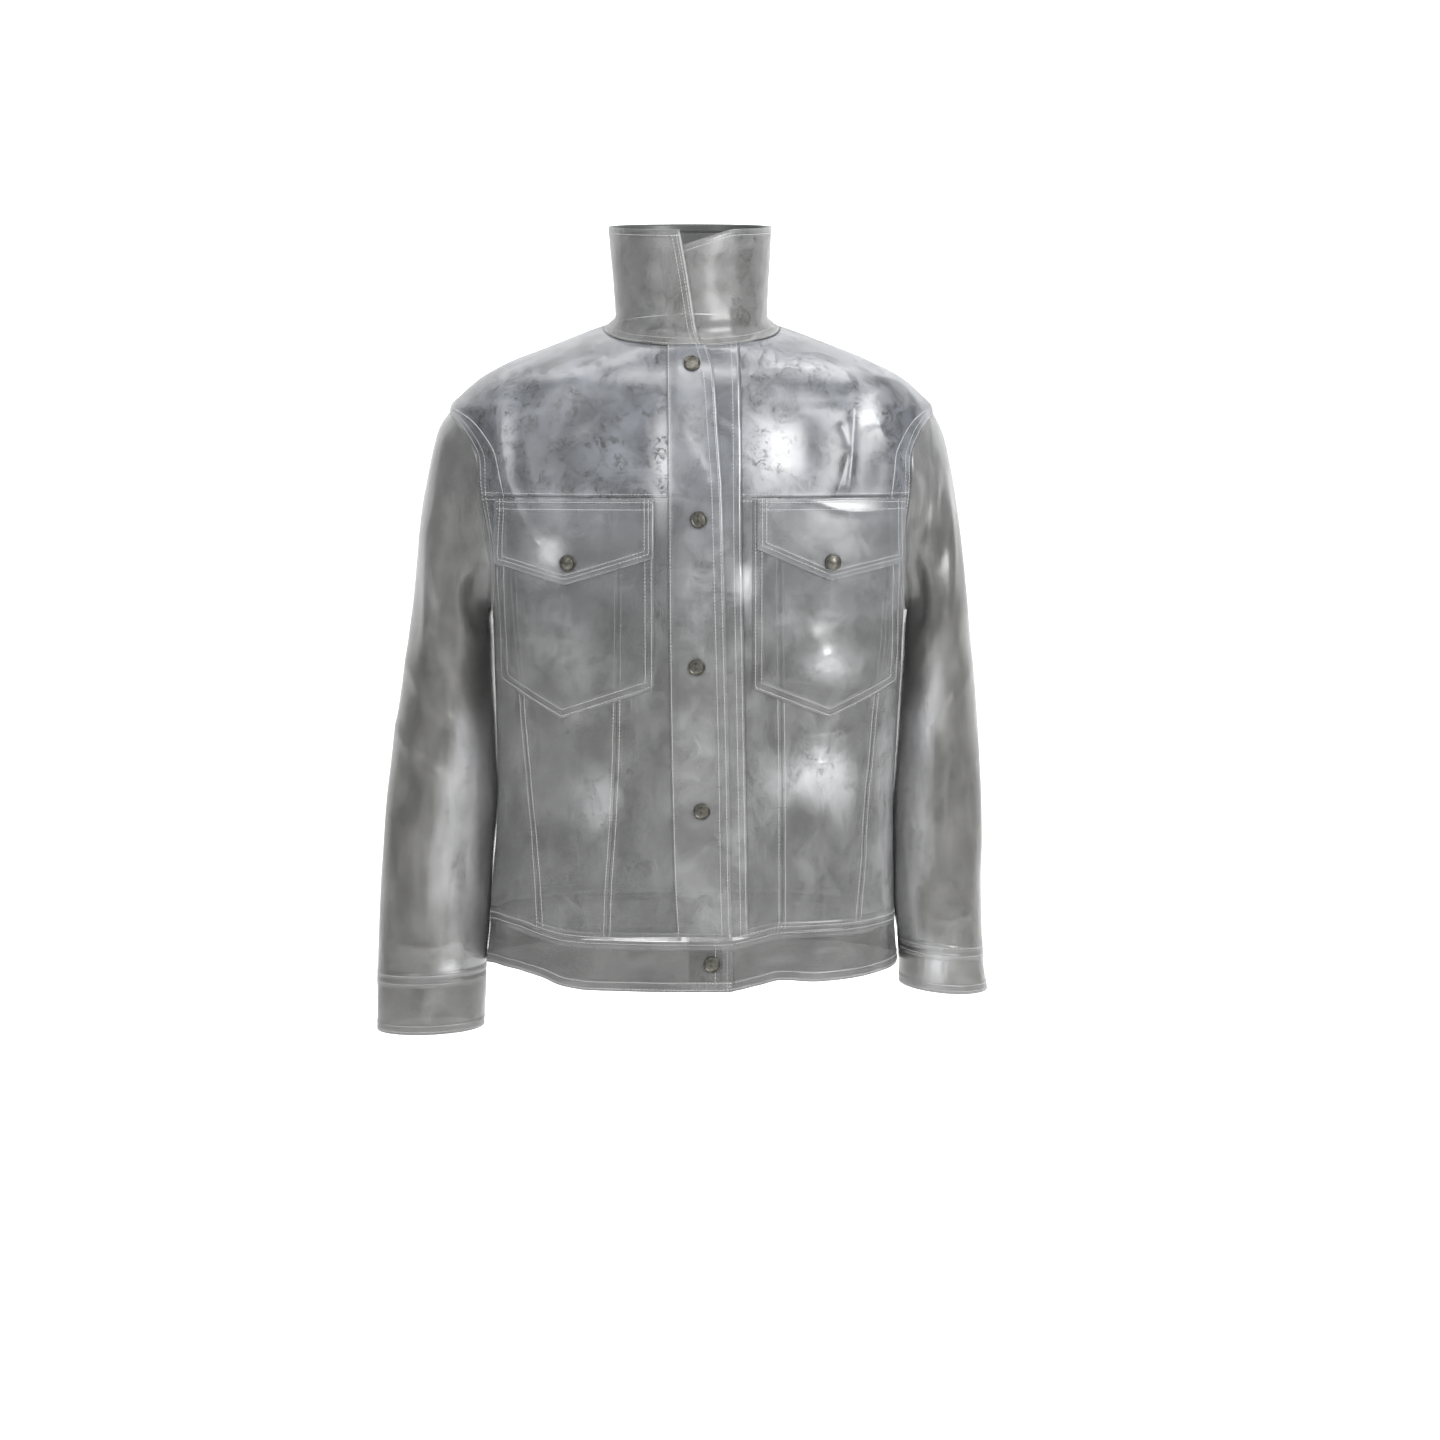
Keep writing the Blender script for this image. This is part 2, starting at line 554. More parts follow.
def arm(side):
    """The film of one sleeve: it joins the body's film at the armhole."""
    zone = "arm_l" if side > 0 else "arm_r"
    heights, inside, lean, middle = side_gap(side)

    def surface(psi, t, lift=0.0):
        psi, t = np.broadcast_arrays(np.asarray(psi, float), np.asarray(t, float))
        base = sleeve(side, psi, t)
        n = side * normals(lambda a, b: sleeve_plain(side, a, b), psi, t, 0.2, 0.004)
        out = n * (relief(base, n, zone) + lift)[..., None]
        join = (1 - smooth(t / 0.55))
        if join.any():
            round_ = psi % 360.0
            half = np.minimum(round_, 360.0 - round_)
            phi = side * np.where(round_ <= 180, LOOP_FRONT(half), LOOP_BACK(half))
            v = LOOP_V(half)
            at_loop = skin(phi, v, lift) - body(phi, v)
            out = out * (1 - join[..., None]) + at_loop * join[..., None]
        place = base + out
        q = seen(base)
        edge = np.interp(q[..., 1], heights, inside)
        near = smooth((edge + 36.0 - side * (q[..., 0] - middle)) / 36.0) * smooth((t - 1.6) / 1.6)
        near = near * (1 - smooth((t - 8.2) / 0.75))
        place[..., 0] -= side * near * np.interp(q[..., 1], heights, lean, left=0.0)
        return place

    return surface


def neck(phi, s, lift=0.0):
    """The film of the collar: it joins the body's film at the neck seam."""
    phi, s = np.broadcast_arrays(np.asarray(phi, float), np.asarray(s, float))
    base = collar(phi, s)
    n = normals(collar_plain, phi, s, 0.05, 0.004)
    return base + n * (relief(base, n, "neck") + lift)[..., None]


def tangents(surface, a, b, lift, da, db):
    """(along a, along b) of a film surface, per unit of a and b."""
    ta = (surface(a + da, b, lift) - surface(a - da, b, lift)) / (2 * da)
    tb = (surface(a, b + db, lift) - surface(a, b - db, lift)) / (2 * db)
    return ta, tb


PLAIN = {"body": (body_plain, 1.0, 0.05, 0.004),
         "neck": (collar_plain, 1.0, 0.05, 0.004),
         "arm_r": (lambda a, b: sleeve_plain(-1, a, b), -1.0, 0.2, 0.004),
         "arm_l": (lambda a, b: sleeve_plain(1, a, b), 1.0, 0.2, 0.004)}
FILM_OF = {"body": skin, "neck": neck, "arm_r": arm(-1), "arm_l": arm(1)}


def beside(zone, a, b, offset, closed=False):
    """Move a path (a, b) on a surface sideways, by offset metres to its left.

    Left is seen from outside, looking along the path.
    """
    plain, way, da, db = PLAIN[zone]
    a, b = np.asarray(a, float), np.asarray(b, float)
    p = plain(a, b)
    if closed:
        t = np.roll(p, -1, 0) - np.roll(p, 1, 0)
    else:
        t = np.gradient(p, axis=0)
    t /= np.linalg.norm(t, axis=-1, keepdims=True)
    ta, tb = tangents(lambda x, y, _: plain(x, y), a, b, 0, da, db)
    n = way * np.cross(ta, tb)
    n /= np.linalg.norm(n, axis=-1, keepdims=True)
    move = np.cross(n, t) * np.reshape(offset, (-1, 1))
    # least squares of move in the two tangents
    aa, ab, bb = (ta * ta).sum(-1), (ta * tb).sum(-1), (tb * tb).sum(-1)
    ma, mb = (ta * move).sum(-1), (tb * move).sum(-1)
    det = np.maximum(aa * bb - ab * ab, 0.03 * aa * bb)
    return a + (ma * bb - mb * ab) / det, b + (mb * aa - ma * ab) / det


def arc(p, closed=False):
    """Distance along a path of points, from 0."""
    step = np.linalg.norm(np.diff(p, axis=0), axis=1)
    return np.concatenate([[0.0], np.cumsum(step)])


def resampled(zone, a, b, step, closed=False):
    """The path (a, b) with points evenly about step metres apart."""
    p = PLAIN[zone][0](np.asarray(a, float), np.asarray(b, float))
    s = arc(p)
    count = max(2, int(round(s[-1] / step)))
    want = np.linspace(0, s[-1], count + 1)
    return np.interp(want, s, a), np.interp(want, s, b)

# ======================================================================
# Building film, allowances and thread
# ======================================================================
WALL_SEEN = 0.0005
GAP = 0.00012            # half of the gap where two pieces meet
UNDER = 0.00085          # an allowance's outer face, below the film's
made = {}


def mesh_object(name, points, faces, material, smooth_faces=True):
    mesh = bpy.data.meshes.new(name)
    mesh.from_pydata([tuple(p) for p in points], [], faces)
    mesh.update()
    if smooth_faces:
        mesh.shade_smooth()
    obj = bpy.data.objects.new(name, mesh)
    bpy.context.scene.collection.objects.link(obj)
    obj.data.materials.append(material)
    return obj


def grid_faces(rows, cols, around=False, flip=False, first=0):
    faces = []
    for j in range(rows - 1):
        for i in range(cols if around else cols - 1):
            k = (i + 1) % cols
            quad = (j * cols + i, j * cols + k, (j + 1) * cols + k, (j + 1) * cols + i)
            quad = tuple(first + q for q in quad)
            faces.append(quad[::-1] if flip else quad)
    return faces


def clouds(points, mesh):
    """Where the film is milkier (up to 1) or clearer (down to -1)."""
    n = np.empty(len(points) * 3)
    mesh.vertex_normals.foreach_get("vector", n)
    facing = smooth((-n.reshape(-1, 3)[:, 1] - 0.1) / 0.35)
    q = seen(points)
    value = np.zeros(len(points))
    for x, y, wide, tall, amount in CLOUDS:
        value += amount * np.exp(-((q[:, 0] - x) / wide) ** 2 - ((q[:, 1] - y) / tall) ** 2)
    drift = waves(points * np.array((1, 1, 0.6)), 0.07, 21.0, 2)
    turn = n.reshape(-1, 3)[:, 1]
    edge = smooth((turn + 0.66) / 0.5) * (1 - smooth((turn - 0.1) / 0.3))
    edge *= 1 - 0.8 * smooth((n.reshape(-1, 3)[:, 2] - 0.25) / 0.4)
    value = value * facing + 0.24 * edge
    if "sleeve" in mesh.name:
        inward = -np.sign(points[:, 0]) * n.reshape(-1, 3)[:, 0]
        value += (0.66 * smooth((inward - 0.10) / 0.55) * smooth((q[:, 1] - 665) / 70)
                  * (1 - smooth((turn - 0.2) / 0.3)))
    return (("behind", smooth((n.reshape(-1, 3)[:, 1] + 0.30) / 0.26)),
            ("cloud", np.clip(value + 0.25 * drift, -1, 1)),
            ("drift", np.clip(0.5 + 0.45 * waves(points, 0.045, 31.0, 2), 0, 1)))


def film(name, points, material, node=None, around=False, flip=False, wall=WALL_SEEN,
         rests_on=(), flat=None, area=None, held="stretched", inner="inner"):
    """A grid of surface points as a thin sheet grown inwards."""
    rows, cols = points.shape[:2]
    obj = mesh_object(name, points.reshape(-1, 3), grid_faces(rows, cols, around, flip),
                      material)
    for attribute, values in clouds(points.reshape(-1, 3), obj.data):
        spot = obj.data.attributes.new(attribute, "FLOAT", "POINT")
        spot.data.foreach_set("value", values.astype(np.float32))
    thick = obj.modifiers.new("thickness", "SOLIDIFY")
    thick.thickness = wall
    thick.offset = -1.0
    thick.use_even_offset = False
    if inner in finish:
        obj.data.materials.append(finish[inner])
        thick.material_offset = 1
    if node:
        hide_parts(node)
        made[node] = dict(obj=obj, flat=flat, area=area, held=held,
                          rests_on=rests_on, extra=[])
    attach(obj, "root")
    return obj


def pull_in(points, left=GAP, right=GAP, bottom=GAP, top=GAP):
    """Draw the grid's edges back a little from the seams."""
    p = points.copy()

    def toward(edge, inner, amount):
        d = inner - edge
        return edge + d / np.maximum(np.linalg.norm(d, axis=-1, keepdims=True), 1e-9) * amount

    if left:
        p[:, 0] = toward(p[:, 0], p[:, 1], left)
    if right:
        p[:, -1] = toward(p[:, -1], p[:, -2], right)
    q = p.copy()
    if bottom:
        q[0] = toward(p[0], p[1], bottom)
    if top:
        q[-1] = toward(p[-1], p[-2], top)
    return q


def even_rows(lines, v0, v1, step):
    """Rows from v0 to v1, no further apart than step along any of the lines."""
    v = np.linspace(v0, v1, 700)
    speed = np.zeros(len(v) - 1)
    for line in lines:
        p = body_plain(line(v), v)
        speed = np.maximum(speed, np.linalg.norm(np.diff(p, axis=0), axis=1))
    s = np.concatenate([[0], np.cumsum(speed)])
    return np.interp(np.linspace(0, s[-1], int(math.ceil(s[-1] / step)) + 1), s, v)


def across(phi_a, phi_b, v, step, plain=body_plain):
    """Columns evenly spread along each row, between two edges."""
    f = np.linspace(0, 1, 41)[None, :]
    phi = phi_a[:, None] * (1 - f) + phi_b[:, None] * f
    p = plain(phi, v[:, None])
    s = np.linalg.norm(np.diff(p, axis=1), axis=-1)
    s = np.concatenate([np.zeros((len(v), 1)), np.cumsum(s, axis=1)], axis=1)
    want = np.linspace(0, 1, int(math.ceil(s[:, -1].max() / step)) + 1)
    return np.stack([np.interp(want, s[j] / s[j, -1], phi[j]) for j in range(len(v))])


STITCH = 0.0027          # one stitch
STITCH_GAP = 0.0007
THREAD = 0.00031         # half of a stitch's width
thread_rows = {}


def stitches(owner, zone, a, b, lift, length=STITCH):
    """A row of stitches along the path (a, b), for the owner's thread object."""
    surface = FILM_OF[zone]
    plain, way, da, db = PLAIN[zone]
    a, b = np.asarray(a, float), np.asarray(b, float)
    if not callable(lift):
        height = float(lift)
        lift = lambda x: height
    s = arc(plain(a, b))
    pitch = length + STITCH_GAP
    count = max(1, int(s[-1] / pitch))
    pitch = s[-1] / count
    at = (np.arange(count) + 0.5) * pitch
    spots = np.stack([at - length / 2, at, at + length / 2], 1)
    pa = np.stack([np.interp(spots[:, k], s, a) for k in range(3)], 1)
    pb = np.stack([np.interp(spots[:, k], s, b) for k in range(3)], 1)
    pts = surface(pa, pb, lift(pa))
    n = way * normals(plain, pa[:, 1], pb[:, 1], da, db)
    thread_rows.setdefault(owner, []).append((pts[:, 0], pts[:, 2], pts[:, 1], n))


def thread_object(owner, rows, material):
    """All stitches of one piece as one mesh of small rounded strands."""
    verts, faces = [], []
    # (place along the stitch, half width, height above the film)
    profile = ((-0.5, 0.3, -0.00008), (-0.27, 0.95, 0.00018),
               (0.27, 0.95, 0.00018), (0.5, 0.3, -0.00008))
    first = 0
    for start, end, centre, n in rows:
        way = end - start
        size = np.linalg.norm(way, axis=1, keepdims=True)
        way = way / size
        across_ = np.cross(n, way)
        rings = []
        for f, w, h in profile:
            base = (start + end) / 2 + way * size * f
            # follow the film between the stitch's ends
            sag = (centre - (start + end) / 2) * (1 - (2 * f) ** 2)
            base = base + sag + n * h
            half = THREAD * w
            rings.append(np.stack([base + across_ * half - n * half * 0.3,
                                   base + n * half * 0.8,
                                   base - across_ * half - n * half * 0.3], 1))
        ring = np.stack(rings, 1)                      # stitch, ring, corner, xyz
        count = len(ring)
        verts.append(ring.reshape(-1, 3))
        one = [(k * 3 + c, k * 3 + (c + 1) % 3, k * 3 + 3 + (c + 1) % 3, k * 3 + 3 + c)
               for k in range(len(profile) - 1) for c in range(3)]
        caps = [(2, 1, 0, 0), (9, 10, 11, 11)]
        one = np.array(one + caps)
        block = one[None] + (first + np.arange(count) * 12)[:, None, None]
        faces += [tuple(q[:3]) if q[2] == q[3] else tuple(q)
                  for q in block.reshape(-1, 4).tolist()]
        first += count * 12
    obj = mesh_object(f"thread_{owner}", np.concatenate(verts), faces, material)
    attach(obj, "root")
    made[owner]["extra"].append(obj)
    return obj

# ======================================================================
# Creases.  Fronts, sleeves and collar: places in the front view, in its
# 1440 units (about 1 mm each).  Backs: x and z in mm.  Heights in mm.
# ======================================================================
CREASE_COLUMNS = ("profile", "width", "height", "taper", "points...")
CREASES = {
    "body": (
        # wearer's right chest, from the armhole down to the flap
        ("sharp", 5, 3.25, 0.15, (499, 408), (503, 420), (502, 436), (508, 478), (511, 487),
         (516, 498), (521, 508), (532, 533), (546, 553), (556, 571), (560, 590)),
        ("soft", 11, 2.08, 0.3, (524, 430), (530, 470), (545, 510), (560, 535)),
        ("soft", 9, -1.3, 0.3, (486, 440), (492, 470), (500, 500), (515, 535)),
        ("sharp", 4, 1.25, 0.3, (538, 540), (552, 548), (566, 551)),
        # right shoulder
        ("sharp", 3, 1.38, 0.25, (588, 352), (596, 350), (605, 342)),
        ("sharp", 3, 1.12, 0.25, (583, 366), (598, 362), (610, 352)),
        ("sharp", 2.5, 1, 0.2, (592, 341), (600, 346), (603, 356), (597, 369)),
        ("sharp", 2.5, 1, 0.0, (490, 385), (494, 381), (498, 386), (494, 390), (490, 385)),
        ("sharp", 3, 1.12, 0.3, (540, 376), (560, 366), (580, 359)),
        ("soft", 12, 1.82, 0.3, (520, 395), (560, 384), (610, 372), (648, 360)),
        ("sharp", 3, 0.88, 0.3, (566, 395), (580, 402), (590, 398)),
        ("soft", 10, 1.69, 0.3, (655, 400), (660, 440), (662, 478), (655, 500)),
        ("soft", 16, -1.56, 0.3, (630, 400), (632, 450), (640, 492)),
        ("sharp", 3, 1.12, 0.3, (640, 486), (650, 492), (657, 503)),
        ("soft", 20, 1.95, 0.3, (585, 420), (600, 450), (612, 480)),
        # along the yoke seam, right
        ("sharp", 3.5, 1, 0.2, (486, 497), (500, 494), (523, 497), (544, 500), (572, 500),
         (595, 496), (625, 490), (660, 494)),
        # placket
        ("soft", 7, 1.69, 0.3, (671, 417), (690, 448), (713, 488)),
        ("sharp", 3.5, 1.62, 0.25, (674, 464), (680, 474), (689, 480), (702, 481), (716, 488)),
        ("sharp", 3, 1, 0.3, (720, 487), (727, 483), (736, 482)),
        ("soft", 9, -1.3, 0.3, (690, 540), (694, 580), (700, 620)),
        ("soft", 10, 1.56, 0.3, (735, 566), (744, 584), (750, 602)),
        ("soft", 12, 1.3, 0.3, (678, 700), (690, 740), (684, 780)),
        ("soft", 10, -1.17, 0.3, (716, 700), (712, 760), (720, 800)),
        ("soft", 12, 1.3, 0.3, (704, 850), (708, 890), (702, 925)),
        # wearer's left chest and shoulder
        ("sharp", 3.5, 2.12, 0.2, (842, 366), (853, 390), (853, 411), (852, 456), (846, 503)),
        ("sharp", 3, 1.25, 0.25, (838, 420), (845, 435), (848, 452)),
        ("sharp", 3, 1.25, 0.25, (848, 448), (842, 478), (834, 503)),
        ("sharp", 3, 1.5, 0.15, (878, 418), (881, 434), (893, 444), (903, 438), (906, 428)),
        ("sharp", 3, 1.25, 0.3, (919, 402), (914, 418), (909, 432)),
        ("sharp", 4, 1.62, 0.3, (758, 371), (790, 368), (820, 369), (852, 371), (874, 389)),
        ("sharp", 3, 1.62, 0.2, (866, 376), (892, 380), (905, 386), (910, 394), (923, 405)),
        ("sharp", 2.5, 1.12, 0.2, (798, 355), (812, 351), (829, 355), (839, 366)),
        ("sharp", 2.2, 1.12, 0.0, (811, 364), (815, 357), (819, 364), (815, 371), (811, 364)),
        ("sharp", 2.5, 1.12, 0.2, (752, 380), (757, 362), (764, 348), (760, 341)),
        ("sharp", 2.5, 1, 0.2, (768, 376), (776, 362), (772, 350), (780, 344)),
        ("sharp", 2.5, 1, 0.2, (786, 372), (792, 358), (800, 364), (796, 378)),
        ("sharp", 2.5, 1, 0.25, (735, 372), (742, 356), (750, 348)),
        ("soft", 22, 3.12, 0.3, (768, 415), (764, 450), (772, 488)),
        ("soft", 14, -1.3, 0.3, (806, 410), (806, 450), (806, 490)),
        ("soft", 15, 2.21, 0.3, (866, 392), (873, 410), (880, 430)),
        ("soft", 12, -1.3, 0.3, (884, 450), (880, 480), (878, 500)),
        ("sharp", 3.5, 1, 0.2, (738, 497), (762, 493), (780, 495), (812, 500), (835, 509),
         (860, 512), (900, 509)),
        # pockets, flaps and the fronts below
        ("soft", 22, 2.47, 0.3, (560, 640), (566, 690), (590, 726)),
        ("soft", 15, -1.43, 0.3, (600, 600), (612, 650), (610, 700)),
        ("soft", 13, 1.43, 0.3, (536, 592), (540, 640), (532, 690)),
        ("soft", 20, 2.86, 0.3, (588, 750), (598, 790), (606, 830)),
        ("soft", 16, -1.69, 0.3, (628, 740), (630, 790), (624, 840)),
        ("soft", 16, 1.56, 0.3, (540, 770), (548, 830), (560, 880)),
        ("sharp", 4, 1.12, 0.3, (604, 720), (616, 745), (622, 772)),
        ("soft", 14, -1.3, 0.3, (515, 740), (520, 800), (528, 860)),
        ("sharp", 3.5, 1.12, 0.3, (556, 880), (570, 900), (590, 912)),
        ("soft", 17, 2.21, 0.3, (800, 622), (822, 652), (838, 690)),
        ("sharp", 4, 1.88, 0.2, (806, 668), (818, 660), (830, 652), (838, 660), (848, 672)),
        ("sharp", 3, 1.25, 0.2, (812, 676), (824, 672), (834, 676)),
        ("soft", 16, -1.56, 0.3, (868, 600), (870, 640), (862, 690)),
        ("soft", 20, 2.6, 0.3, (808, 740), (822, 775), (846, 800)),
        ("sharp", 3.5, 1.38, 0.25, (790, 800), (797, 780), (808, 768), (824, 762), (838, 768)),
        ("soft", 16, -1.69, 0.3, (868, 760), (870, 810), (862, 860)),
        ("sharp", 3.5, 1, 0.3, (790, 740), (830, 738), (862, 728)),
        ("soft", 14, 1.56, 0.3, (795, 850), (800, 890), (806, 925)),
        ("soft", 14, 1.3, 0.3, (760, 600), (758, 650), (764, 700)),
        ("sharp", 3.5, 1, 0.3, (756, 760), (752, 800), (760, 840)),
        # side edges, drawn in by the sleeves
        ("soft", 9, 2.08, 0.2, (497, 520), (498, 600), (500, 700), (501, 800)),
        ("soft", 9, 1.82, 0.2, (899, 520), (902, 610), (902, 700), (899, 800)),
        # waistband
        ("soft", 13, 1.56, 0.3, (560, 955), (566, 975), (570, 992)),
        ("soft", 13, -1.3, 0.3, (640, 958), (645, 975), (640, 992)),
        ("soft", 16, 1.3, 0.3, (820, 945), (824, 962), (820, 985)),
        ("soft", 16, -1.17, 0.3, (776, 955), (778, 970), (774, 990)),
        ("sharp", 4, 0.88, 0.3, (520, 950), (528, 962), (526, 978)),
    ),
    "body_back": (
        ("soft", 16, 2.6, 0.3, (-60, -40), (-30, -70), (20, -76), (62, -44)),
        ("sharp", 6, 1.75, 0.25, (-110, -60), (-70, -92), (-10, -108), (50, -100), (105, -62)),
        ("sharp", 5, 1.88, 0.3, (-190, -170), (-150, -190), (-100, -230), (-78, -280)),
        ("sharp", 5, 1.88, 0.3, (192, -160), (158, -196), (112, -224), (84, -292)),
        ("soft", 18, 2.6, 0.3, (-120, -260), (-110, -340), (-116, -430), (-104, -520)),
        ("soft", 18, 2.47, 0.3, (124, -250), (108, -350), (120, -440), (110, -530)),
        ("soft", 22, -2.34, 0.3, (-60, -300), (-66, -400), (-54, -500)),
        ("soft", 22, -2.08, 0.3, (66, -280), (58, -390), (70, -480)),
        ("sharp", 5, 1.62, 0.3, (-30, -180), (-12, -230), (-18, -300), (2, -360)),
        ("sharp", 5, 1.38, 0.3, (30, -420), (16, -470), (22, -540)),
        ("sharp", 4, 1.38, 0.3, (-170, -470), (-140, -500), (-96, -512)),
        ("sharp", 4, 1.38, 0.3, (172, -455), (136, -492), (90, -500)),
        ("sharp", 4, 1.12, 0.3, (-60, -548), (-10, -560), (52, -552)),
    ),
    "arm_l": (
        ("sharp", 4, 2.5, 0.25, (917, 452), (912, 474), (906, 498)),
        ("sharp", 4.5, 2.75, 0.25, (922, 460), (919, 500), (913, 540)),
        ("sharp", 4.5, 3, 0.25, (931, 452), (924, 497), (916, 530), (909, 560)),
        ("sharp", 4.5, 2.5, 0.25, (941, 455), (934, 505), (927, 540), (919, 562)),
        ("soft", 12, -2.6, 0.3, (952, 450), (948, 520), (938, 590)),
        ("soft", 14, 2.86, 0.3, (968, 470), (966, 560), (956, 650)),
        ("sharp", 3.5, 1.5, 0.25, (920, 415), (924, 428), (922, 440)),
        ("sharp", 5, 2.25, 0.3, (948, 600), (936, 640), (920, 672), (908, 690)),
        ("sharp", 5, 2, 0.3, (980, 640), (960, 690), (934, 726), (912, 742)),
        ("soft", 14, 3.12, 0.3, (930, 690), (936, 760), (944, 830), (950, 900)),
        ("soft", 14, -2.6, 0.3, (962, 700), (966, 780), (972, 860)),
        ("soft", 12, 2.34, 0.3, (985, 700), (988, 790), (984, 880)),
        ("sharp", 4, 1.62, 0.3, (906, 800), (918, 830), (914, 870)),
        ("sharp", 4, 1.75, 0.3, (916, 905), (936, 920), (962, 918), (980, 905)),
        ("soft", 9, 1.69, 0.3, (935, 950), (935, 970), (938, 990)),
    ),
    "arm_l_back": (
        ("soft", 16, 3.12, 0.3, (240, -150), (246, -260), (252, -380), (256, -500)),
        ("soft", 14, -2.6, 0.3, (268, -240), (272, -340), (276, -460)),
        ("sharp", 5, 2.5, 0.3, (284, -300), (262, -330), (236, -350)),
        ("sharp", 5, 2.25, 0.3, (282, -360), (258, -392), (230, -406)),
        ("sharp", 4, 1.75, 0.3, (236, -560), (256, -580), (284, -574)),
    ),
    "arm_r": (
        ("soft", 8, 2.34, 0.3, (424, 500), (426, 560), (427, 610), (433, 670)),
        ("soft", 7, 2.08, 0.3, (435, 535), (437, 591), (446, 649), (460, 690)),
        ("sharp", 4, -2, 0.3, (446, 612), (452, 640), (456, 676)),
        ("soft", 14, 2.86, 0.3, (470, 520), (474, 600), (470, 680)),
        ("soft", 13, -2.34, 0.3, (452, 470), (456, 530), (458, 590)),
        ("sharp", 5, 1.88, 0.3, (486, 470), (474, 500), (470, 535)),
        ("sharp", 5, 2.12, 0.3, (398, 640), (420, 690), (448, 722), (474, 736)),
        ("sharp", 5, 2, 0.3, (386, 700), (404, 742), (430, 772), (462, 786)),
        ("soft", 15, 3.12, 0.3, (428, 740), (430, 800), (420, 870), (414, 940)),
        ("soft", 14, -2.6, 0.3, (458, 760), (460, 830), (452, 900)),
        ("soft", 12, 2.34, 0.3, (400, 760), (396, 830), (392, 910)),
        ("sharp", 4, 1.5, 0.3, (474, 820), (466, 860), (470, 910)),
        ("sharp", 4, 1.62, 0.3, (392, 940), (414, 950), (444, 948), (470, 934)),
        ("sharp", 3.5, 1.25, 0.3, (437, 965), (447, 970), (456, 964)),
        ("soft", 9, 1.56, 0.3, (420, 985), (424, 1005), (420, 1022)),
        ("soft", 12, 2.08, 0.3, (404, 520), (400, 590), (392, 660)),
    ),
    "arm_r_back": (
        ("soft", 16, 3.12, 0.3, (-244, -150), (-250, -260), (-258, -390), (-270, -520)),
        ("soft", 14, -2.6, 0.3, (-272, -260), (-280, -370), (-292, -480)),
        ("sharp", 5, 2.5, 0.3, (-292, -320), (-266, -352), (-234, -372)),
        ("sharp", 5, 2.25, 0.3, (-296, -380), (-268, -412), (-236, -424)),
        ("sharp", 4, 1.75, 0.3, (-246, -604), (-272, -620), (-306, -612)),
    ),
    "neck": (
        ("sharp", 3, 1.88, 0.25, (700, 324), (716, 319), (737, 320), (752, 325)),
        ("sharp", 3, 1.25, 0.3, (728, 304), (730, 322), (732, 342)),
        ("sharp", 3, 1.25, 0.3, (750, 342), (758, 338), (766, 330)),
        ("soft", 12, 1.82, 0.3, (640, 240), (644, 280), (636, 316)),
        ("soft", 14, -1.56, 0.3, (722, 250), (728, 280), (724, 310)),
        ("soft", 12, 1.56, 0.3, (750, 250), (754, 290), (750, 320)),
        ("sharp", 3, 1, 0.3, (612, 318), (626, 326), (646, 330)),
        ("soft", 10, 1.3, 0.3, (614, 240), (616, 280), (613, 315)),
    ),
    "neck_back": (
        ("soft", 14, 2.08, 0.3, (-44, 96), (-40, 60), (-46, 30)),
        ("soft", 14, -1.82, 0.3, (0, 104), (6, 66), (2, 30)),
        ("soft", 14, 1.82, 0.3, (44, 96), (40, 64), (46, 32)),
        ("sharp", 4, 1.25, 0.3, (-20, 34), (0, 30), (24, 36)),
    ),
}

# Milkier (+) and clearer (-) patches of the front, in the same units.
CLOUD_COLUMNS = ("x", "y", "half_width", "half_height", "amount")
CLOUDS = (
    (770, 452, 26, 44, 1.00), (871, 410, 16, 22, 0.85), (662, 458, 11, 46, 0.95),
    (744, 582, 11, 20, 0.90), (602, 798, 22, 36, 0.65), (822, 774, 38, 30, 0.95),
    (829, 664, 24, 15, 0.85), (700, 600, 22, 60, 0.28), (700, 742, 14, 40, 0.08),
    (549, 554, 14, 16, 0.95), (585, 645, 24, 36, 0.35), (936, 962, 15, 20, 0.75),
    (434, 1000, 12, 18, 0.20), (400, 1000, 16, 20, -0.40), (695, 430, 14, 46, 0.35), (447, 968, 11, 7, 0.75), (932, 700, 14, 70, 0.70), (464, 765, 10, 80, 0.30), (446, 905, 12, 50, 0.12),
    (736, 286, 30, 50, 0.12), (636, 376, 60, 12, 0.45), (806, 369, 60, 9, 0.60),
    (556, 374, 40, 10, 0.30), (490, 600, 7, 110, 0.40), (430, 600, 10, 80, 0.25),
    (575, 412, 45, 42, -0.40), (534, 445, 14, 50, -0.28), (506, 440, 11, 46, 0.65), (890, 458, 13, 40, -0.36),
    (741, 541, 7, 22, -1.00), (477, 640, 12, 84, -0.85), (913, 640, 10, 62, -0.60),
    (650, 545, 8, 20, -0.50), (640, 752, 28, 30, -0.35), (625, 832, 16, 30, -0.35),
    (866, 770, 12, 50, -0.35), (805, 620, 46, 40, 0.22), (884, 800, 10, 100, 0.35), (520, 900, 20, 40, -0.25),
    (640, 912, 26, 26, -0.60), (578, 885, 38, 34, -0.65), (790, 900, 30, 30, -0.30), (640, 968, 44, 14, -0.55), (735, 285, 26, 34, -0.40),
    (550, 965, 44, 15, -0.65), (810, 962, 60, 15, -0.65), (660, 262, 24, 24, -0.35),
    (714, 300, 10, 20, -0.25), (952, 590, 16, 70, -0.50), (936, 762, 12, 60, -0.45),
    (962, 850, 16, 60, -0.45), (926, 905, 12, 30, -0.45), (426, 720, 18, 70, -0.45), (598, 610, 30, 50, -0.22),
    (455, 560, 12, 60, -0.35), (405, 870, 14, 70, -0.40), (720, 640, 9, 30, -0.35),
)

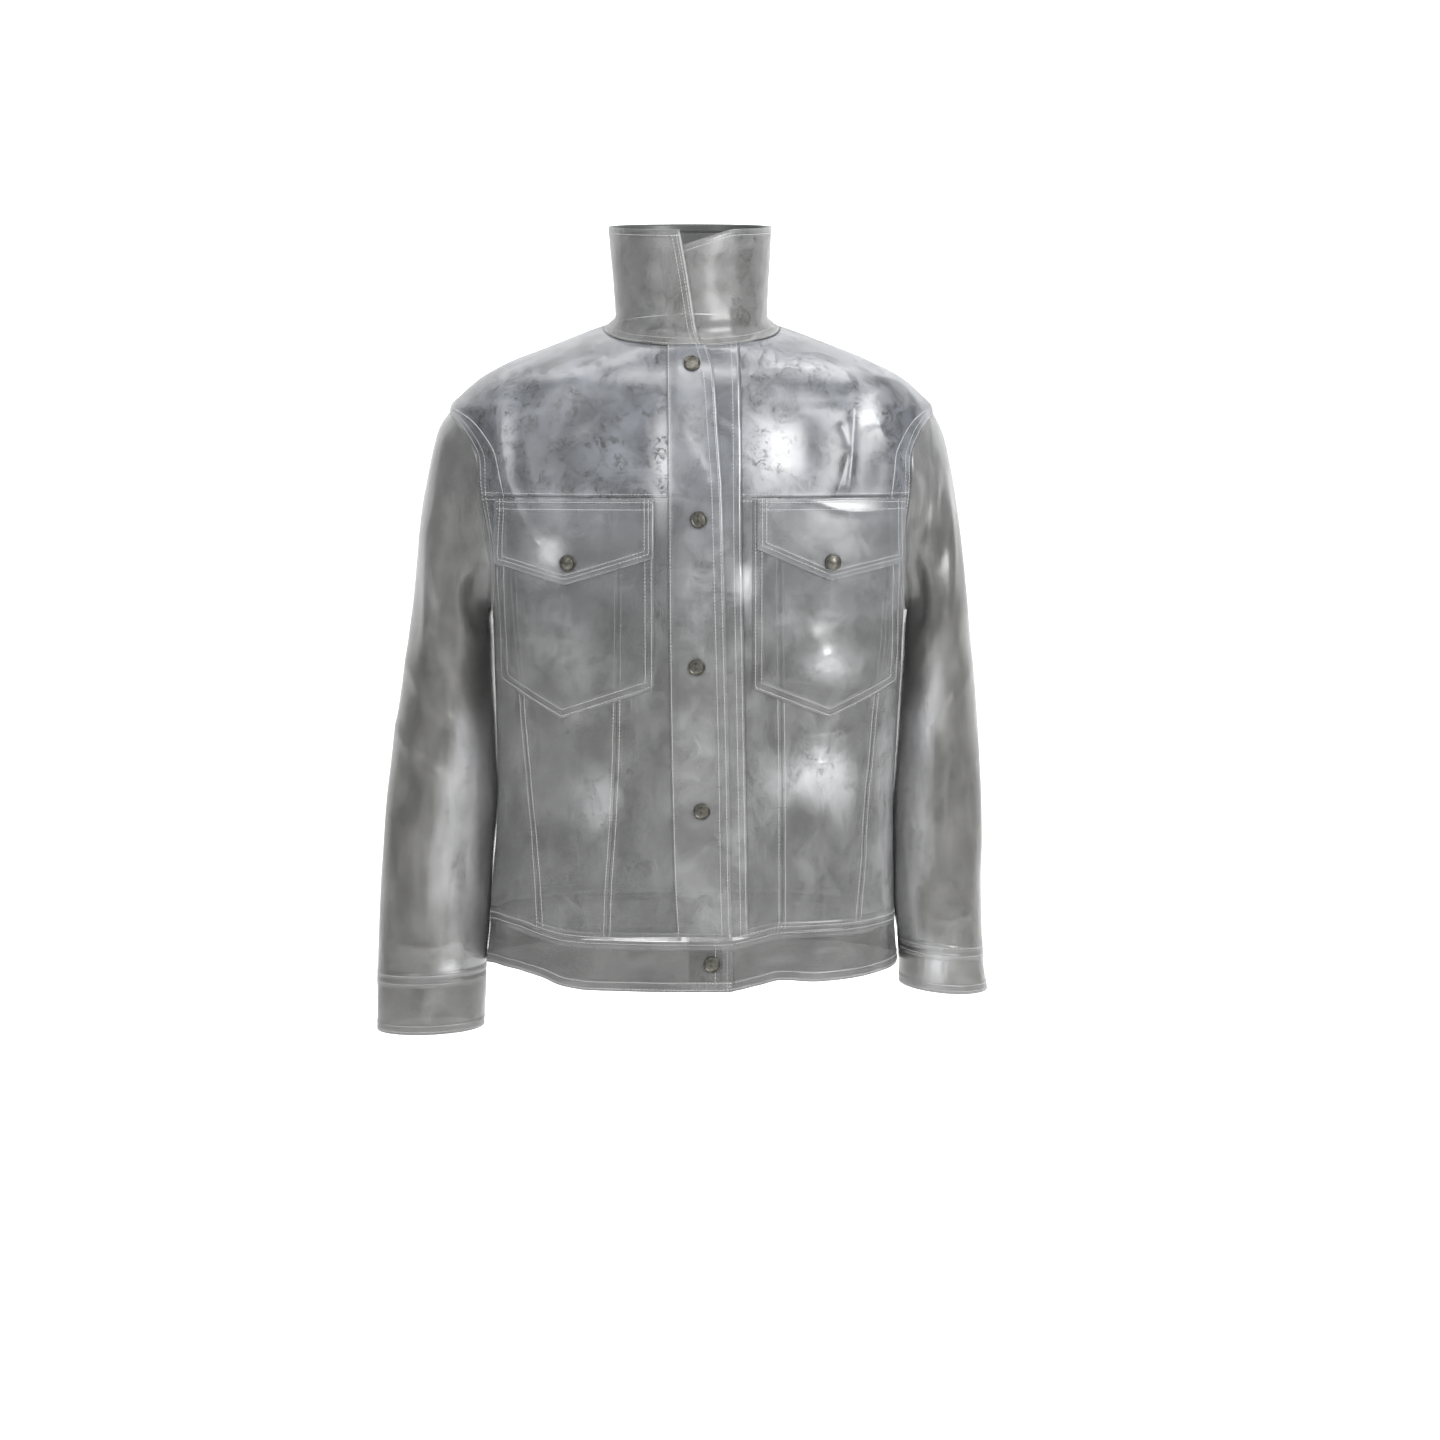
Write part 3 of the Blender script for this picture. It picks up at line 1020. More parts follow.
# ======================================================================
# Finishes
# ======================================================================
class Nodes:
    """Short-hand for building a material's node tree."""

    def __init__(self, name):
        self.mat = bpy.data.materials.new(name)
        self.mat.use_nodes = True
        self.tree = self.mat.node_tree
        self.tree.nodes.clear()
        self.out = self.add("ShaderNodeOutputMaterial")
        self.shader = self.add("ShaderNodeBsdfPrincipled")
        self.link(self.shader.outputs[0], self.out.inputs["Surface"])
        self.coord = self.add("ShaderNodeTexCoord").outputs["Object"]

    def add(self, kind, **values):
        node = self.tree.nodes.new(kind)
        for key, value in values.items():
            setattr(node, key, value)
        return node

    def link(self, a, b):
        self.tree.links.new(a, b)

    def set(self, **values):
        for key, value in values.items():
            self.shader.inputs[key.replace("_", " ")].default_value = value

    def scaled(self, x, y, z, shift=0.0):
        node = self.add("ShaderNodeMapping")
        node.inputs["Scale"].default_value = (x, y, z)
        node.inputs["Location"].default_value = (shift, shift * 0.7, shift * 0.3)
        self.link(self.coord, node.inputs["Vector"])
        return node.outputs[0]

    def noise(self, vector, scale, detail=2.0, rough=0.5, warp=0.0):
        node = self.add("ShaderNodeTexNoise")
        node.inputs["Scale"].default_value = scale
        node.inputs["Detail"].default_value = detail
        node.inputs["Roughness"].default_value = rough
        node.inputs["Distortion"].default_value = warp
        self.link(vector, node.inputs["Vector"])
        return node.outputs["Fac"]

    def ramp(self, value, *stops):
        """Map a value through (place, colour or number) stops."""
        node = self.add("ShaderNodeValToRGB")
        ramp = node.color_ramp
        while len(ramp.elements) < len(stops):
            ramp.elements.new(0.5)
        for element, (place, what) in zip(ramp.elements, stops):
            element.position = place
            c = (what, what, what) if isinstance(what, float) else what
            element.color = (*c, 1.0)
        self.link(value, node.inputs["Fac"])
        return node.outputs["Color"]

    def math(self, kind, a, b, clamp=False):
        node = self.add("ShaderNodeMath", operation=kind, use_clamp=clamp)
        for socket, value in zip(node.inputs, (a, b)):
            if isinstance(value, (int, float)):
                socket.default_value = value
            else:
                self.link(value, socket)
        return node.outputs[0]

    def mix(self, fac, a, b, kind="MIX"):
        node = self.add("ShaderNodeMix", data_type="RGBA", blend_type=kind)
        for socket, value in ((node.inputs["Factor"], fac), (node.inputs["A"], a),
                              (node.inputs["B"], b)):
            if isinstance(value, (int, float)):
                socket.default_value = value
            elif isinstance(value, tuple):
                socket.default_value = (*value, 1.0)
            else:
                self.link(value, socket)
        return node.outputs["Result"]

    def bump(self, height, strength, distance, normal=None):
        node = self.add("ShaderNodeBump")
        node.inputs["Strength"].default_value = strength
        node.inputs["Distance"].default_value = distance
        self.link(height, node.inputs["Height"])
        if normal is not None:
            self.link(normal, node.inputs["Normal"])
        return node.outputs["Normal"]


def film_finish(name, dark, pale, seed, alpha=(0.56, 0.70), smudge=0.5,
                cool=1.0, gloss=(0.27, 0.40), drop=1.0, coat=0.20):
    """Translucent milky film: cloudy tint, faint smudges, soft ripples."""
    m = Nodes(name)
    still = m.scaled(1, 1, 1, seed)
    mottle = m.noise(m.scaled(1, 1, drop, seed), 46.0, 3.0, 0.62, 0.7)
    drift = m.add("ShaderNodeAttribute", attribute_name="drift").outputs["Fac"]
    patch = m.add("ShaderNodeAttribute", attribute_name="cloud").outputs["Fac"]
    split = m.add("ShaderNodeSeparateXYZ")
    m.link(m.coord, split.inputs[0])
    tone = m.math("ADD", m.math("MULTIPLY", drift, 0.5), m.math("MULTIPLY", mottle, 0.5))
    tone = m.ramp(tone, (0.34, 0.0), (0.66, 1.0))
    colour = m.mix(tone, dark, pale)
    # cooler over the chest, warmer lower down
    if cool:
        high_up = m.add("ShaderNodeMapRange", interpolation_type="SMOOTHSTEP")
        high_up.inputs["From Min"].default_value = -0.34
        high_up.inputs["From Max"].default_value = -0.06
        m.link(split.outputs["Z"], high_up.inputs["Value"])
        colour = m.mix(m.math("MULTIPLY", high_up.outputs[0], cool), colour,
                       (0.93, 0.98, 1.09), "MULTIPLY")
    # milkier and clearer patches, with ragged edges
    ragged = m.math("ADD", patch, m.math("MULTIPLY", m.math("SUBTRACT", mottle, 0.5), 0.5))
    milky = m.ramp(ragged, (0.02, 0.0), (1.0, 1.0))
    clear = m.ramp(m.math("MULTIPLY", ragged, -1.0), (0.02, 0.0), (1.0, 1.0))
    colour = m.mix(m.math("MULTIPLY", milky, 0.75), colour, MILK)
    # smudges: clusters of small darker flecks, most where the film is clearer
    if smudge:
        speck = m.noise(still, 135.0, 3.0, 0.68, 1.4)
        where = m.ramp(m.math("ADD", m.math("SUBTRACT", 1.0, mottle),
                              m.math("MULTIPLY", clear, 0.15)), (0.45, 0.0), (0.60, 1.0))
        flecks = m.ramp(speck, (0.50, 0.0), (0.60, 1.0))
        fleck = m.math("MULTIPLY", m.math("MULTIPLY", where, flecks), smudge)
        colour = m.mix(fleck, colour, tuple(c * 0.35 for c in dark))
    low, high = alpha
    veil = m.ramp(tone, (0.0, low), (1.0, high))
    veil = m.math("ADD", veil, m.math("MULTIPLY", milky, 0.18))
    veil = m.math("MULTIPLY", veil, m.math("SUBTRACT", 1.0, m.math("MULTIPLY", clear, 0.35)))
    m.link(colour, m.shader.inputs["Base Color"])
    m.link(veil, m.shader.inputs["Alpha"])
    m.link(m.ramp(tone, (0.0, gloss[0]), (1.0, gloss[1])), m.shader.inputs["Roughness"])
    m.link(m.bump(m.noise(m.scaled(1, 1, 0.6, seed), 34.0, 1.0, 0.4, 0.5), 0.30, 0.0008),
           m.shader.inputs["Normal"])
    m.set(IOR=1.55, Metallic=0.0)
    m.set(**{"Coat_Weight": 0.4, "Coat_Roughness": coat, "Coat_IOR": 1.5,
             "Specular_IOR_Level": 1.0})
    return m.mat


def inner_finish(name, everywhere=False):
    """Inner faces: nearly clear in front, deep where the hollow's far side lies."""
    m = Nodes(name)
    deep = m.mix(m.noise(m.coord, 20.0, 1.0), (0.050, 0.051, 0.052), (0.085, 0.086, 0.086))
    if everywhere:
        m.link(deep, m.shader.inputs["Base Color"])
        m.set(Alpha=0.95)
    else:
        far = m.add("ShaderNodeAttribute", attribute_name="behind").outputs["Fac"]
        m.link(m.mix(far, (0.16, 0.162, 0.16), deep), m.shader.inputs["Base Color"])
        m.link(m.ramp(far, (0.0, 0.08), (1.0, 0.96)), m.shader.inputs["Alpha"])
    m.set(Roughness=0.35, IOR=1.5)
    m.set(**{"Specular_IOR_Level": 0.3})
    return m.mat


def thread_finish(name):
    """Pale, slightly shiny polyester, with a fine twist."""
    m = Nodes(name)
    twist = m.add("ShaderNodeTexWave", wave_type="BANDS", bands_direction="DIAGONAL")
    twist.inputs["Scale"].default_value = 900.0
    twist.inputs["Distortion"].default_value = 2.0
    m.link(m.coord, twist.inputs["Vector"])
    colour = m.mix(twist.outputs["Fac"], (0.46, 0.46, 0.45), (0.70, 0.70, 0.685))
    m.link(colour, m.shader.inputs["Base Color"])
    m.link(m.bump(twist.outputs["Fac"], 0.4, 0.0001), m.shader.inputs["Normal"])
    m.set(Roughness=0.5)
    m.set(**{"Sheen_Weight": 0.2})
    return m.mat


def metal_finish(name, dark, pale, rough=(0.32, 0.50)):
    """Dark gunmetal: faint turning rings, worn a little paler in places."""
    m = Nodes(name)
    still = m.scaled(1, 1, 1, 4.0)
    wear = m.noise(still, 420.0, 4.0, 0.6, 0.5)
    m.link(m.mix(m.ramp(wear, (0.38, 0.0), (0.68, 1.0)), dark, pale),
           m.shader.inputs["Base Color"])
    m.link(m.ramp(m.noise(still, 900.0, 3.0, 0.6), (0.35, rough[0]), (0.65, rough[1])),
           m.shader.inputs["Roughness"])
    m.link(m.bump(m.noise(still, 1600.0, 2.0, 0.5), 0.2, 0.00008),
           m.shader.inputs["Normal"])
    m.set(Metallic=1.0)
    return m.mat


MILK = (0.56, 0.565, 0.58)
GREY = ((0.100, 0.101, 0.100), (0.140, 0.142, 0.141))
DIM = ((0.082, 0.083, 0.080), (0.125, 0.126, 0.123))
BLUISH = ((0.090, 0.093, 0.097), (0.170, 0.174, 0.180))
OLIVE = ((0.112, 0.111, 0.105), (0.158, 0.157, 0.149))
PALE = ((0.150, 0.151, 0.150), (0.205, 0.207, 0.206))

finish = {
    "yoke": film_finish("film_yoke", *BLUISH, 2.0, smudge=0.85, gloss=(0.34, 0.48), coat=0.33),
    "front": film_finish("film_front", *GREY, 2.0, smudge=0.5, drop=0.5),
    "pocket": film_finish("film_pocket", *GREY, 3.0, smudge=0.3, alpha=(0.36, 0.48)),
    "flap": film_finish("film_flap", *PALE, 12.0, smudge=0.2, alpha=(0.42, 0.54)),
    "placket": film_finish("film_placket", *PALE, 4.0, smudge=0.3, alpha=(0.50, 0.62)),
    "back": film_finish("film_back", *GREY, 5.0, smudge=0.3),
    "sleeve": film_finish("film_sleeve", *OLIVE, 6.0, smudge=0.35, cool=0.4, drop=0.3),
    "band": film_finish("film_band", (0.068, 0.069, 0.066), (0.106, 0.107, 0.104), 7.0,
                        smudge=0.5),
    "collar": film_finish("film_collar", *OLIVE, 8.0, smudge=0.6, cool=0.3,
                          gloss=(0.36, 0.48), coat=0.34),
    "fold": film_finish("film_fold", *PALE, 9.0, smudge=0, alpha=(0.30, 0.42)),
    "inner": inner_finish("film_inner"),
    "lining": inner_finish("film_inner_band", True),
    "thread": thread_finish("thread_pale"),
    "cap": metal_finish("snap_gunmetal", (0.085, 0.082, 0.070), (0.17, 0.165, 0.145)),
    "rim": metal_finish("snap_rim", (0.045, 0.043, 0.038), (0.11, 0.105, 0.095)),
}

# ======================================================================
# The pieces
# ======================================================================
STEP = 0.0022
SEAM_ROW = 0.0031        # stitch rows lie this far from a seam
ALLOWANCE = 0.0066       # half width of a seam's allowances
BAND_ROW, BAND_ALLOWANCE = 0.0031, 0.0090


def inner_r(v):
    return edge_phi(TOP_EDGE, v, PLACKET_LAP)


def inner_l(v):
    return edge_phi(UNDER_EDGE, v)


def const(phi):
    return lambda v: np.full(np.shape(v), float(phi))


# ------------------------------------------------------------ fronts, back
SIDES = (("r", -1, SEAM_A_R, SEAM_B_R, inner_r), ("l", 1, SEAM_A_L, SEAM_B_L, inner_l))
for tag, side, seam_a, seam_b, inner in SIDES:
    lines = [inner, lambda v, s=seam_a: edge_phi(s, v), lambda v, s=seam_b: edge_phi(s, v),
             lambda v, k=side: k * armhole_phi(v)]
    size = {"center": (0.065, 0.40), "mid": (0.095, 0.425), "side": (0.105, 0.42)}
    areas = {"centerr": .0252, "midr": .0405, "sider": .0385,
             "centerl": .0147, "midl": .0421, "sidel": .0341}
    for k, part_name in enumerate(("center", "mid", "side")):
        v = even_rows((lines[k], lines[k + 1]), 1, YOKE, STEP)
        start, end = lines[k](v), lines[k + 1](v)
        if side < 0:
            start, end = end, start
        phi = across(start, end, v, STEP)
        w, l = size[part_name]
        area = areas[part_name + tag]
        w = max(w if area / (w * l) < 0.98 else area / l / 0.95, area / l / 0.97)
        film(f"cloth_front_{part_name}_{tag}", pull_in(skin(phi, v[:, None])),
             finish["front"], f"front_{part_name}_{tag}",
             flat=(w, l), area=area, rests_on=("waistband", f"front_yoke_{tag}"))
    v = even_rows((inner, lines[3]), YOKE, NECK, STEP)
    start, end = inner(v), lines[3](v)
    if side < 0:
        start, end = end, start
    phi = across(start, end, v, STEP)
    film(f"cloth_front_yoke_{tag}", pull_in(skin(phi, v[:, None])),
         finish["yoke"], f"front_yoke_{tag}", flat=(0.215, 0.235),
         area={"r": .0438, "l": .0396}[tag], rests_on=("back", "collar"), held="draped")

v = even_rows((const(180), lambda q: armhole_phi(q, False)), 1, NECK, 0.0046)
edge = armhole_phi(v, False)
phi = across(edge, 360.0 - edge, v, 0.0048)
film("cloth_back", pull_in(skin(phi, v[:, None])), finish["back"], "back", inner="inner",
     flat=(0.585, 0.625), area=.3076, rests_on=("waistband", "collar"), held="draped")


# --------------------------------------------------------------- plackets
def lap_lift(distance, edge_lift, full=LAYER, reach=0.014):
    """A layer's standing off: low at a stitched edge, full further in."""
    return edge_lift + (full - edge_lift) * smooth(np.asarray(distance) / reach)


v = even_rows((lambda q: edge_phi(TOP_EDGE, q), lambda q: edge_phi(FREE_EDGE, q)),
              1, NECK, 0.0032)
phi = across(edge_phi(TOP_EDGE, v), edge_phi(FREE_EDGE, v), v, 0.0028)
base = body_plain(phi, v[:, None])
from_left = np.linalg.norm(np.diff(base, axis=1), axis=-1)
from_left = np.concatenate([np.zeros((len(v), 1)), np.cumsum(from_left, 1)], 1)
film("cloth_placket_top", pull_in(skin(phi, v[:, None], lap_lift(from_left, 0.0012)),
                                  left=0, right=0),
     finish["placket"], "placket_top", flat=(0.056, 0.585), area=.0306,
     rests_on=("front_center_r", "placket_under"))
v = even_rows((lambda q: edge_phi(TOP_EDGE, q), inner_l), 1, NECK, 0.0036)
phi = across(edge_phi(TOP_EDGE, v, UNDER_START), inner_l(v), v, 0.0036)
film("cloth_placket_under", pull_in(skin(phi, v[:, None]), left=0),
     finish["placket"], "placket_under", flat=(0.064, 0.585), area=.0362,
     rests_on=("front_center_l",))

# -------------------------------------------------------------- waistband
start = float(phi_at_x(BAND_UNDER_END_X, 0.5))
end = 360.0 + float(phi_at_x(BAND_OUTER_END_X, 0.5))
v = np.linspace(0, 1, 17)
phi = across(np.full(17, start), np.full(17, end), v, 0.0040)
lift = LAYER * smooth((phi - 341.0) / 12.0)
film("cloth_waistband", pull_in(skin(phi, v[:, None], lift), left=0, right=0, bottom=0),
     finish["band"], "waistband", inner="lining", flat=(1.17, 0.051), area=.0580,
     rests_on=("back", "front_mid_r", "front_mid_l"))


def band_lift(phi):
    return LAYER * smooth((np.asarray(phi) - 341.0) / 12.0)


# -------------------------------------------------------- pockets and flaps
def patch_grid(outline, top, step, layers, seed, edge_lift):
    """A pocket or flap laid on the front; (phi, v) of its grid and its points."""
    xs, low = [], []
    for (x_a, z_a, _), (x_b, z_b, _) in zip(outline, outline[1:]):
        phi_a, v_a = front_angles(x_a, (z_a + top) / 2)
        phi_b, v_b = front_angles(x_b, (z_b + top) / 2)
        size = np.linalg.norm(body_plain(phi_a, v_a) - body_plain(phi_b, v_b))
        strips = int(math.ceil(size / step))
        for f in np.linspace(0, 1, strips + 1)[1 if xs else 0:]:
            x = body_plain(phi_a + (phi_b - phi_a) * f, v_a + (v_b - v_a) * f)[0]
            xs.append(float(x))
            low.append(z_a + (z_b - z_a) * (x - x_a) / (x_b - x_a))
    xs, low = np.array(xs), np.array(low)
    if xs[0] > xs[-1]:
        xs, low = xs[::-1], low[::-1]
    rows = int(math.ceil((top - low.min()) / step))
    u = np.linspace(0, 1, rows + 1)[:, None]
    z = low[None, :] * (1 - u) + top * u
    phi, v = front_angles(xs[None, :] + np.zeros(z.shape), z)
    p = body_plain(phi, v)
    d_side = np.minimum(np.abs(xs - xs[0]), np.abs(xs - xs[-1]))[None, :] * 1.2
    d = np.minimum(np.minimum(d_side, z - low[None, :]), top - z)
    full = LAYER * layers
    lift = edge_lift + (full - edge_lift) * smooth(d / 0.016)
    puff = 0.0004 * (1 + waves(p, 0.03, seed)) * smooth(d / 0.03)
    return phi, v, skin(phi, v, lift + puff)


def patch_corners(outline, top, inset):
    """Corners of a line that runs inside a patch's outline, inset metres in."""
    pts = [(outline[0][0], top)] + [(x, z) for x, z, _ in outline] + [(outline[-1][0], top)]
    pts = np.array(pts)
    if pts[0, 0] > pts[-1, 0]:
        pts = pts[::-1]
    # from the left, down, along the bottom and up: the inside is on the left
    d = np.diff(pts, axis=0)
    d /= np.linalg.norm(d, axis=1, keepdims=True)
    n = np.stack([-d[:, 1], d[:, 0]], 1)
    out = [pts[0] + n[0] * inset]
    for k in range(len(d) - 1):
        p, q = pts[k] + n[k] * inset, pts[k + 1] + n[k + 1] * inset
        u, w = d[k], d[k + 1]
        det = w[0] * u[1] - u[0] * w[1]
        t = ((q - p)[1] * w[0] - (q - p)[0] * w[1]) / det
        out.append(p + u * t)
    out.append(pts[-1] + n[-1] * inset)
    return np.array(out)


def along_corners(corners, counts):
    parts_ = [np.linspace(a, b, c + 1)[1 if k else 0:]
              for k, (a, b, c) in enumerate(zip(corners, corners[1:], counts))]
    return np.concatenate(parts_)


def patch_counts(outline, top, step):
    c = patch_corners(outline, top, 0.0)
    return [max(2, int(math.ceil(d / step))) for d in np.linalg.norm(np.diff(c, axis=0), axis=1)]


def patch_line(outline, top, inset, step=0.003):
    """(phi, v) along a line inside the patch."""
    p = along_corners(patch_corners(outline, top, inset), patch_counts(outline, top, step))
    return front_angles(p[:, 0], p[:, 1])


POCKET_EDGE, FLAP_EDGE = 0.0015, 0.0034
for tag, pocket, flap in (("r", POCKET_R, FLAP_R), ("l", POCKET_L, FLAP_L)):
    phi, v, points = patch_grid(pocket, POCKET_TOP, 0.0024, 1, 11.0, POCKET_EDGE)
    area = {"r": .0333, "l": .0323}[tag]
    film(f"cloth_pocket_{tag}", points, finish["pocket"], f"pocket_{tag}",
         flat=(0.172, 0.212), area=area, rests_on=(f"front_mid_{tag}",))
    phi, v, points = patch_grid(flap, POCKET_TOP + 0.001, 0.0021, 2, 12.0, FLAP_EDGE)
    area = {"r": .0120, "l": .0109}[tag]
    film(f"cloth_flap_{tag}", points, finish["flap"], f"flap_{tag}",
         flat=(0.172, 0.082), area=area, rests_on=(f"pocket_{tag}", f"front_yoke_{tag}"))

# ---------------------------------------------------------------- sleeves
for tag, side in (("r", -1), ("l", 1)):
    surface = arm(side)
    psi = np.linspace(0, 360, 121)[:-1]
    # columns evenly along the sleeve's girth at mid length
    fine = np.linspace(0, 360, 1441)
    ring = sleeve_plain(side, fine, np.full(fine.shape, 4.0))
    s = arc(ring)
    psi = np.interp(np.linspace(0, s[-1], 121)[:-1], s, fine)
    if side < 0:
        psi = psi[::-1]
    fine_t = np.linspace(0, 10, 501)
    down = sleeve_plain(side, np.full(fine_t.shape, 0.0), fine_t)
    under = sleeve_plain(side, np.full(fine_t.shape, 150.0), fine_t)
    s = np.maximum(arc(down), 0) * 0.6 + arc(under) * 0.4
    cuff_at = np.interp(9.0, fine_t, s)
    rows = int(round(cuff_at / 0.0042))
    t = np.interp(np.linspace(0, cuff_at, rows + 1), s, fine_t)
    grid = surface(psi[None, :] + np.zeros((len(t), 1)), t[:, None])
    film(f"cloth_sleeve_{tag}", pull_in(grid, left=0, right=0, bottom=0.0003),
         finish["sleeve"], f"sleeve_{tag}", around=True, inner="inner",
         flat=(0.395, 0.57), area={"r": .1724, "l": .1511}[tag],
         rests_on=(f"front_yoke_{tag}", "back"), held="draped")
    t = np.linspace(9.0, 10.0, 15)
    grid = surface(psi[None, :] + np.zeros((len(t), 1)), t[:, None])
    film(f"cloth_cuff_{tag}", pull_in(grid, left=0, right=0, top=0),
         finish["sleeve"], f"cuff_{tag}", around=True, inner="lining",
         flat=(0.275, 0.062), area={"r": .0165, "l": .0116}[tag],
         rests_on=(f"sleeve_{tag}",))


# ----------------------------------------------------------------- collar
def collar_at(u, f):
    """(phi, s) at fraction u round the collar and fraction f of its height."""
    u, f = np.broadcast_arrays(np.asarray(u, float), np.asarray(f, float))
    tab = COLLAR_T
    phi_top = tab["phi_under"](5.0) * (1 - u) + tab["phi_outer"](5.0) * u
    top = 5.0 - COLLAR_DROP(phi_top) / 0.0293
    s = f * top
    return tab["phi_under"](s) * (1 - u) + tab["phi_outer"](s) * u, s


def collar_lift(phi):
    return LAYER * smooth((np.asarray(phi) - 314.0) / 19.0)


u = np.linspace(0, 1, 150)
f = np.linspace(0, 1, 37)[:, None]
phi, s = collar_at(u[None, :] + np.zeros((37, 1)), f)
film("cloth_collar", pull_in(neck(phi, s, collar_lift(phi)), left=0, right=0,
                             bottom=0.0003, top=0),
     finish["collar"], "collar", inner="inner", flat=(0.565, 0.118), area=.0529,
     rests_on=("front_yoke_r", "front_yoke_l", "back"))

# ======================================================================
# Seam allowances, turned hems and topstitching
# ======================================================================
FOLD = finish["fold"]
OVER = 0.0004            # a turned edge that lies on the outside


def seam_path(edge_line, v0, v1, count=160):
    v = np.linspace(v0, v1, count)
    return edge_line(v), v


def strip(name, zone, a, b, offsets, lift, owner, closed=False, step=0.005, wall=0.0004,
          material=None):
    """A ribbon whose lift may vary along it."""
    a, b = resampled(zone, a, b, step)
    if closed:
        a, b = a[:-1], b[:-1]
    rows = []
    for off in offsets:
        x, y = beside(zone, a, b, off, closed) if off else (a, b)
        rows.append(FILM_OF[zone](x, y, lift(x) if callable(lift) else lift))
    points = np.array(rows)
    flip = offsets[-1] < offsets[0]
    obj = film(name, points, material or FOLD, around=closed, flip=flip, wall=wall)
    made[owner]["extra"].append(obj)
    return obj


def sew(owner, zone, a, b, offset, lift, closed=False, step=0.003):
    """A row of stitches beside a path on a film."""
    a, b = resampled(zone, a, b, step)
    if closed:
        a, b = a[:-1], b[:-1]
    if offset:
        a, b = beside(zone, a, b, offset, closed)
    if closed:
        a = np.append(a, a[0] + (360.0 if abs(a[-1] - a[0]) > 180 else 0.0))
        b = np.append(b, b[0])
    stitches(owner, zone, a, b, lift)


def offsets(low, high, count=4):
    return tuple(np.linspace(low, high, count + 1))


# princess seams
for tag, side, seam_a, seam_b, inner in SIDES:
    for letter, seam, left, right in (("a", seam_a, "center", "mid"),
                                      ("b", seam_b, "mid", "side")):
        a, b = seam_path(lambda v: edge_phi(seam, v), 1.0, YOKE)
        strip(f"allowance_{letter}_{tag}", "body", a, b, offsets(-ALLOWANCE, ALLOWANCE),
              -UNDER, f"front_{right}_{tag}")
        # going up, left is towards -X
        names = (left, right) if side > 0 else (right, left)
        sew(f"front_{names[0]}_{tag}", "body", a, b, SEAM_ROW, 0.0)
        sew(f"front_{names[1]}_{tag}", "body", a, b, -SEAM_ROW, 0.0)

# yoke seams, going towards +X: left is up
for tag, side, seam_a, seam_b, inner in SIDES:
    lo, hi = float(inner(np.array([YOKE]))[0]), side * float(armhole_phi(np.array([YOKE]))[0])
    lo, hi = min(lo, hi), max(lo, hi)
    a = np.linspace(lo, hi, 120)
    b = np.full(120, YOKE)
    strip(f"allowance_yoke_{tag}", "body", a, b, offsets(-ALLOWANCE, ALLOWANCE),
          -UNDER, f"front_yoke_{tag}")
    sew(f"front_yoke_{tag}", "body", a, b, SEAM_ROW, 0.0)
    sew(f"front_yoke_{tag}", "body", a, b, -SEAM_ROW, 0.0)

# side and shoulder seams
for tag, side in (("r", -1), ("l", 1)):
    a, b = seam_path(const(side * SIDE_SEAM), 1.0, UNDERARM - 0.05, 60)
    strip(f"allowance_side_{tag}", "body", a, b, offsets(-ALLOWANCE, ALLOWANCE),
          -UNDER, "back")
    sew("back", "body", a, b, -side * SEAM_ROW, 0.0)
    sew("back", "body", a, b, -side * (SEAM_ROW + 0.0062), 0.0)
    a, b = seam_path(const(side * SHOULDER_SEAM), SHOULDER_TIP + 0.05, NECK - 0.05, 60)
    strip(f"allowance_shoulder_{tag}", "body", a, b, offsets(-ALLOWANCE, ALLOWANCE),
          -UNDER, "back")
    sew("back", "body", a, b, -side * SEAM_ROW, 0.0)
    sew("back", "body", a, b, -side * (SEAM_ROW + 0.0062), 0.0)

# armholes: the allowances are turned onto the body
psi = np.linspace(0, 360, 721)
half = np.minimum(psi, 360 - psi)
for tag, side in (("r", -1), ("l", 1)):
    a = side * np.where(psi <= 180, LOOP_FRONT(half), LOOP_BACK(half))
    b = LOOP_V(half)
    inside = -side           # the body lies on this side of the loop
    strip(f"allowance_armhole_{tag}", "body", a, b,
          tuple(inside * o for o in (0.0003, 0.004, 0.008, 0.0115)), -UNDER - 0.0005,
          f"sleeve_{tag}", closed=True, step=0.004)
    for off in (0.0026, 0.0088):
        sew(f"sleeve_{tag}", "body", a, b, inside * off, 0.0, closed=True)

# waist seam and the waistband's hem, once round from the under end
a = np.linspace(start, end, 700)
for name, v_at, span in (("allowance_waist", 1.0, (-BAND_ALLOWANCE, BAND_ALLOWANCE)),
                         ("hem_waistband", 0.0, (0.0003, 0.0105))):
    strip(name, "body", a, np.full(700, v_at), offsets(*span),
          lambda x: band_lift(x) + OVER, "waistband", step=0.005, wall=OVER - 0.00008)
body_round = np.linspace(start, 360 + start - 2, 700)
over_band = lambda x: band_lift(x) + OVER
sew("waistband", "body", a, np.full(700, 1.0), -BAND_ROW, over_band)
sew("waistband", "body", np.linspace(float(edge_phi(FREE_EDGE, np.array([1.0]))[0]),
                                     360 + float(edge_phi(TOP_EDGE, np.array([1.0]))[0]), 700),
    np.full(700, 1.0), BAND_ROW, OVER)
sew("waistband", "body", a, np.full(700, 0.0), 0.0024, over_band)
sew("waistband", "body", a, np.full(700, 0.0), 0.0088, over_band)
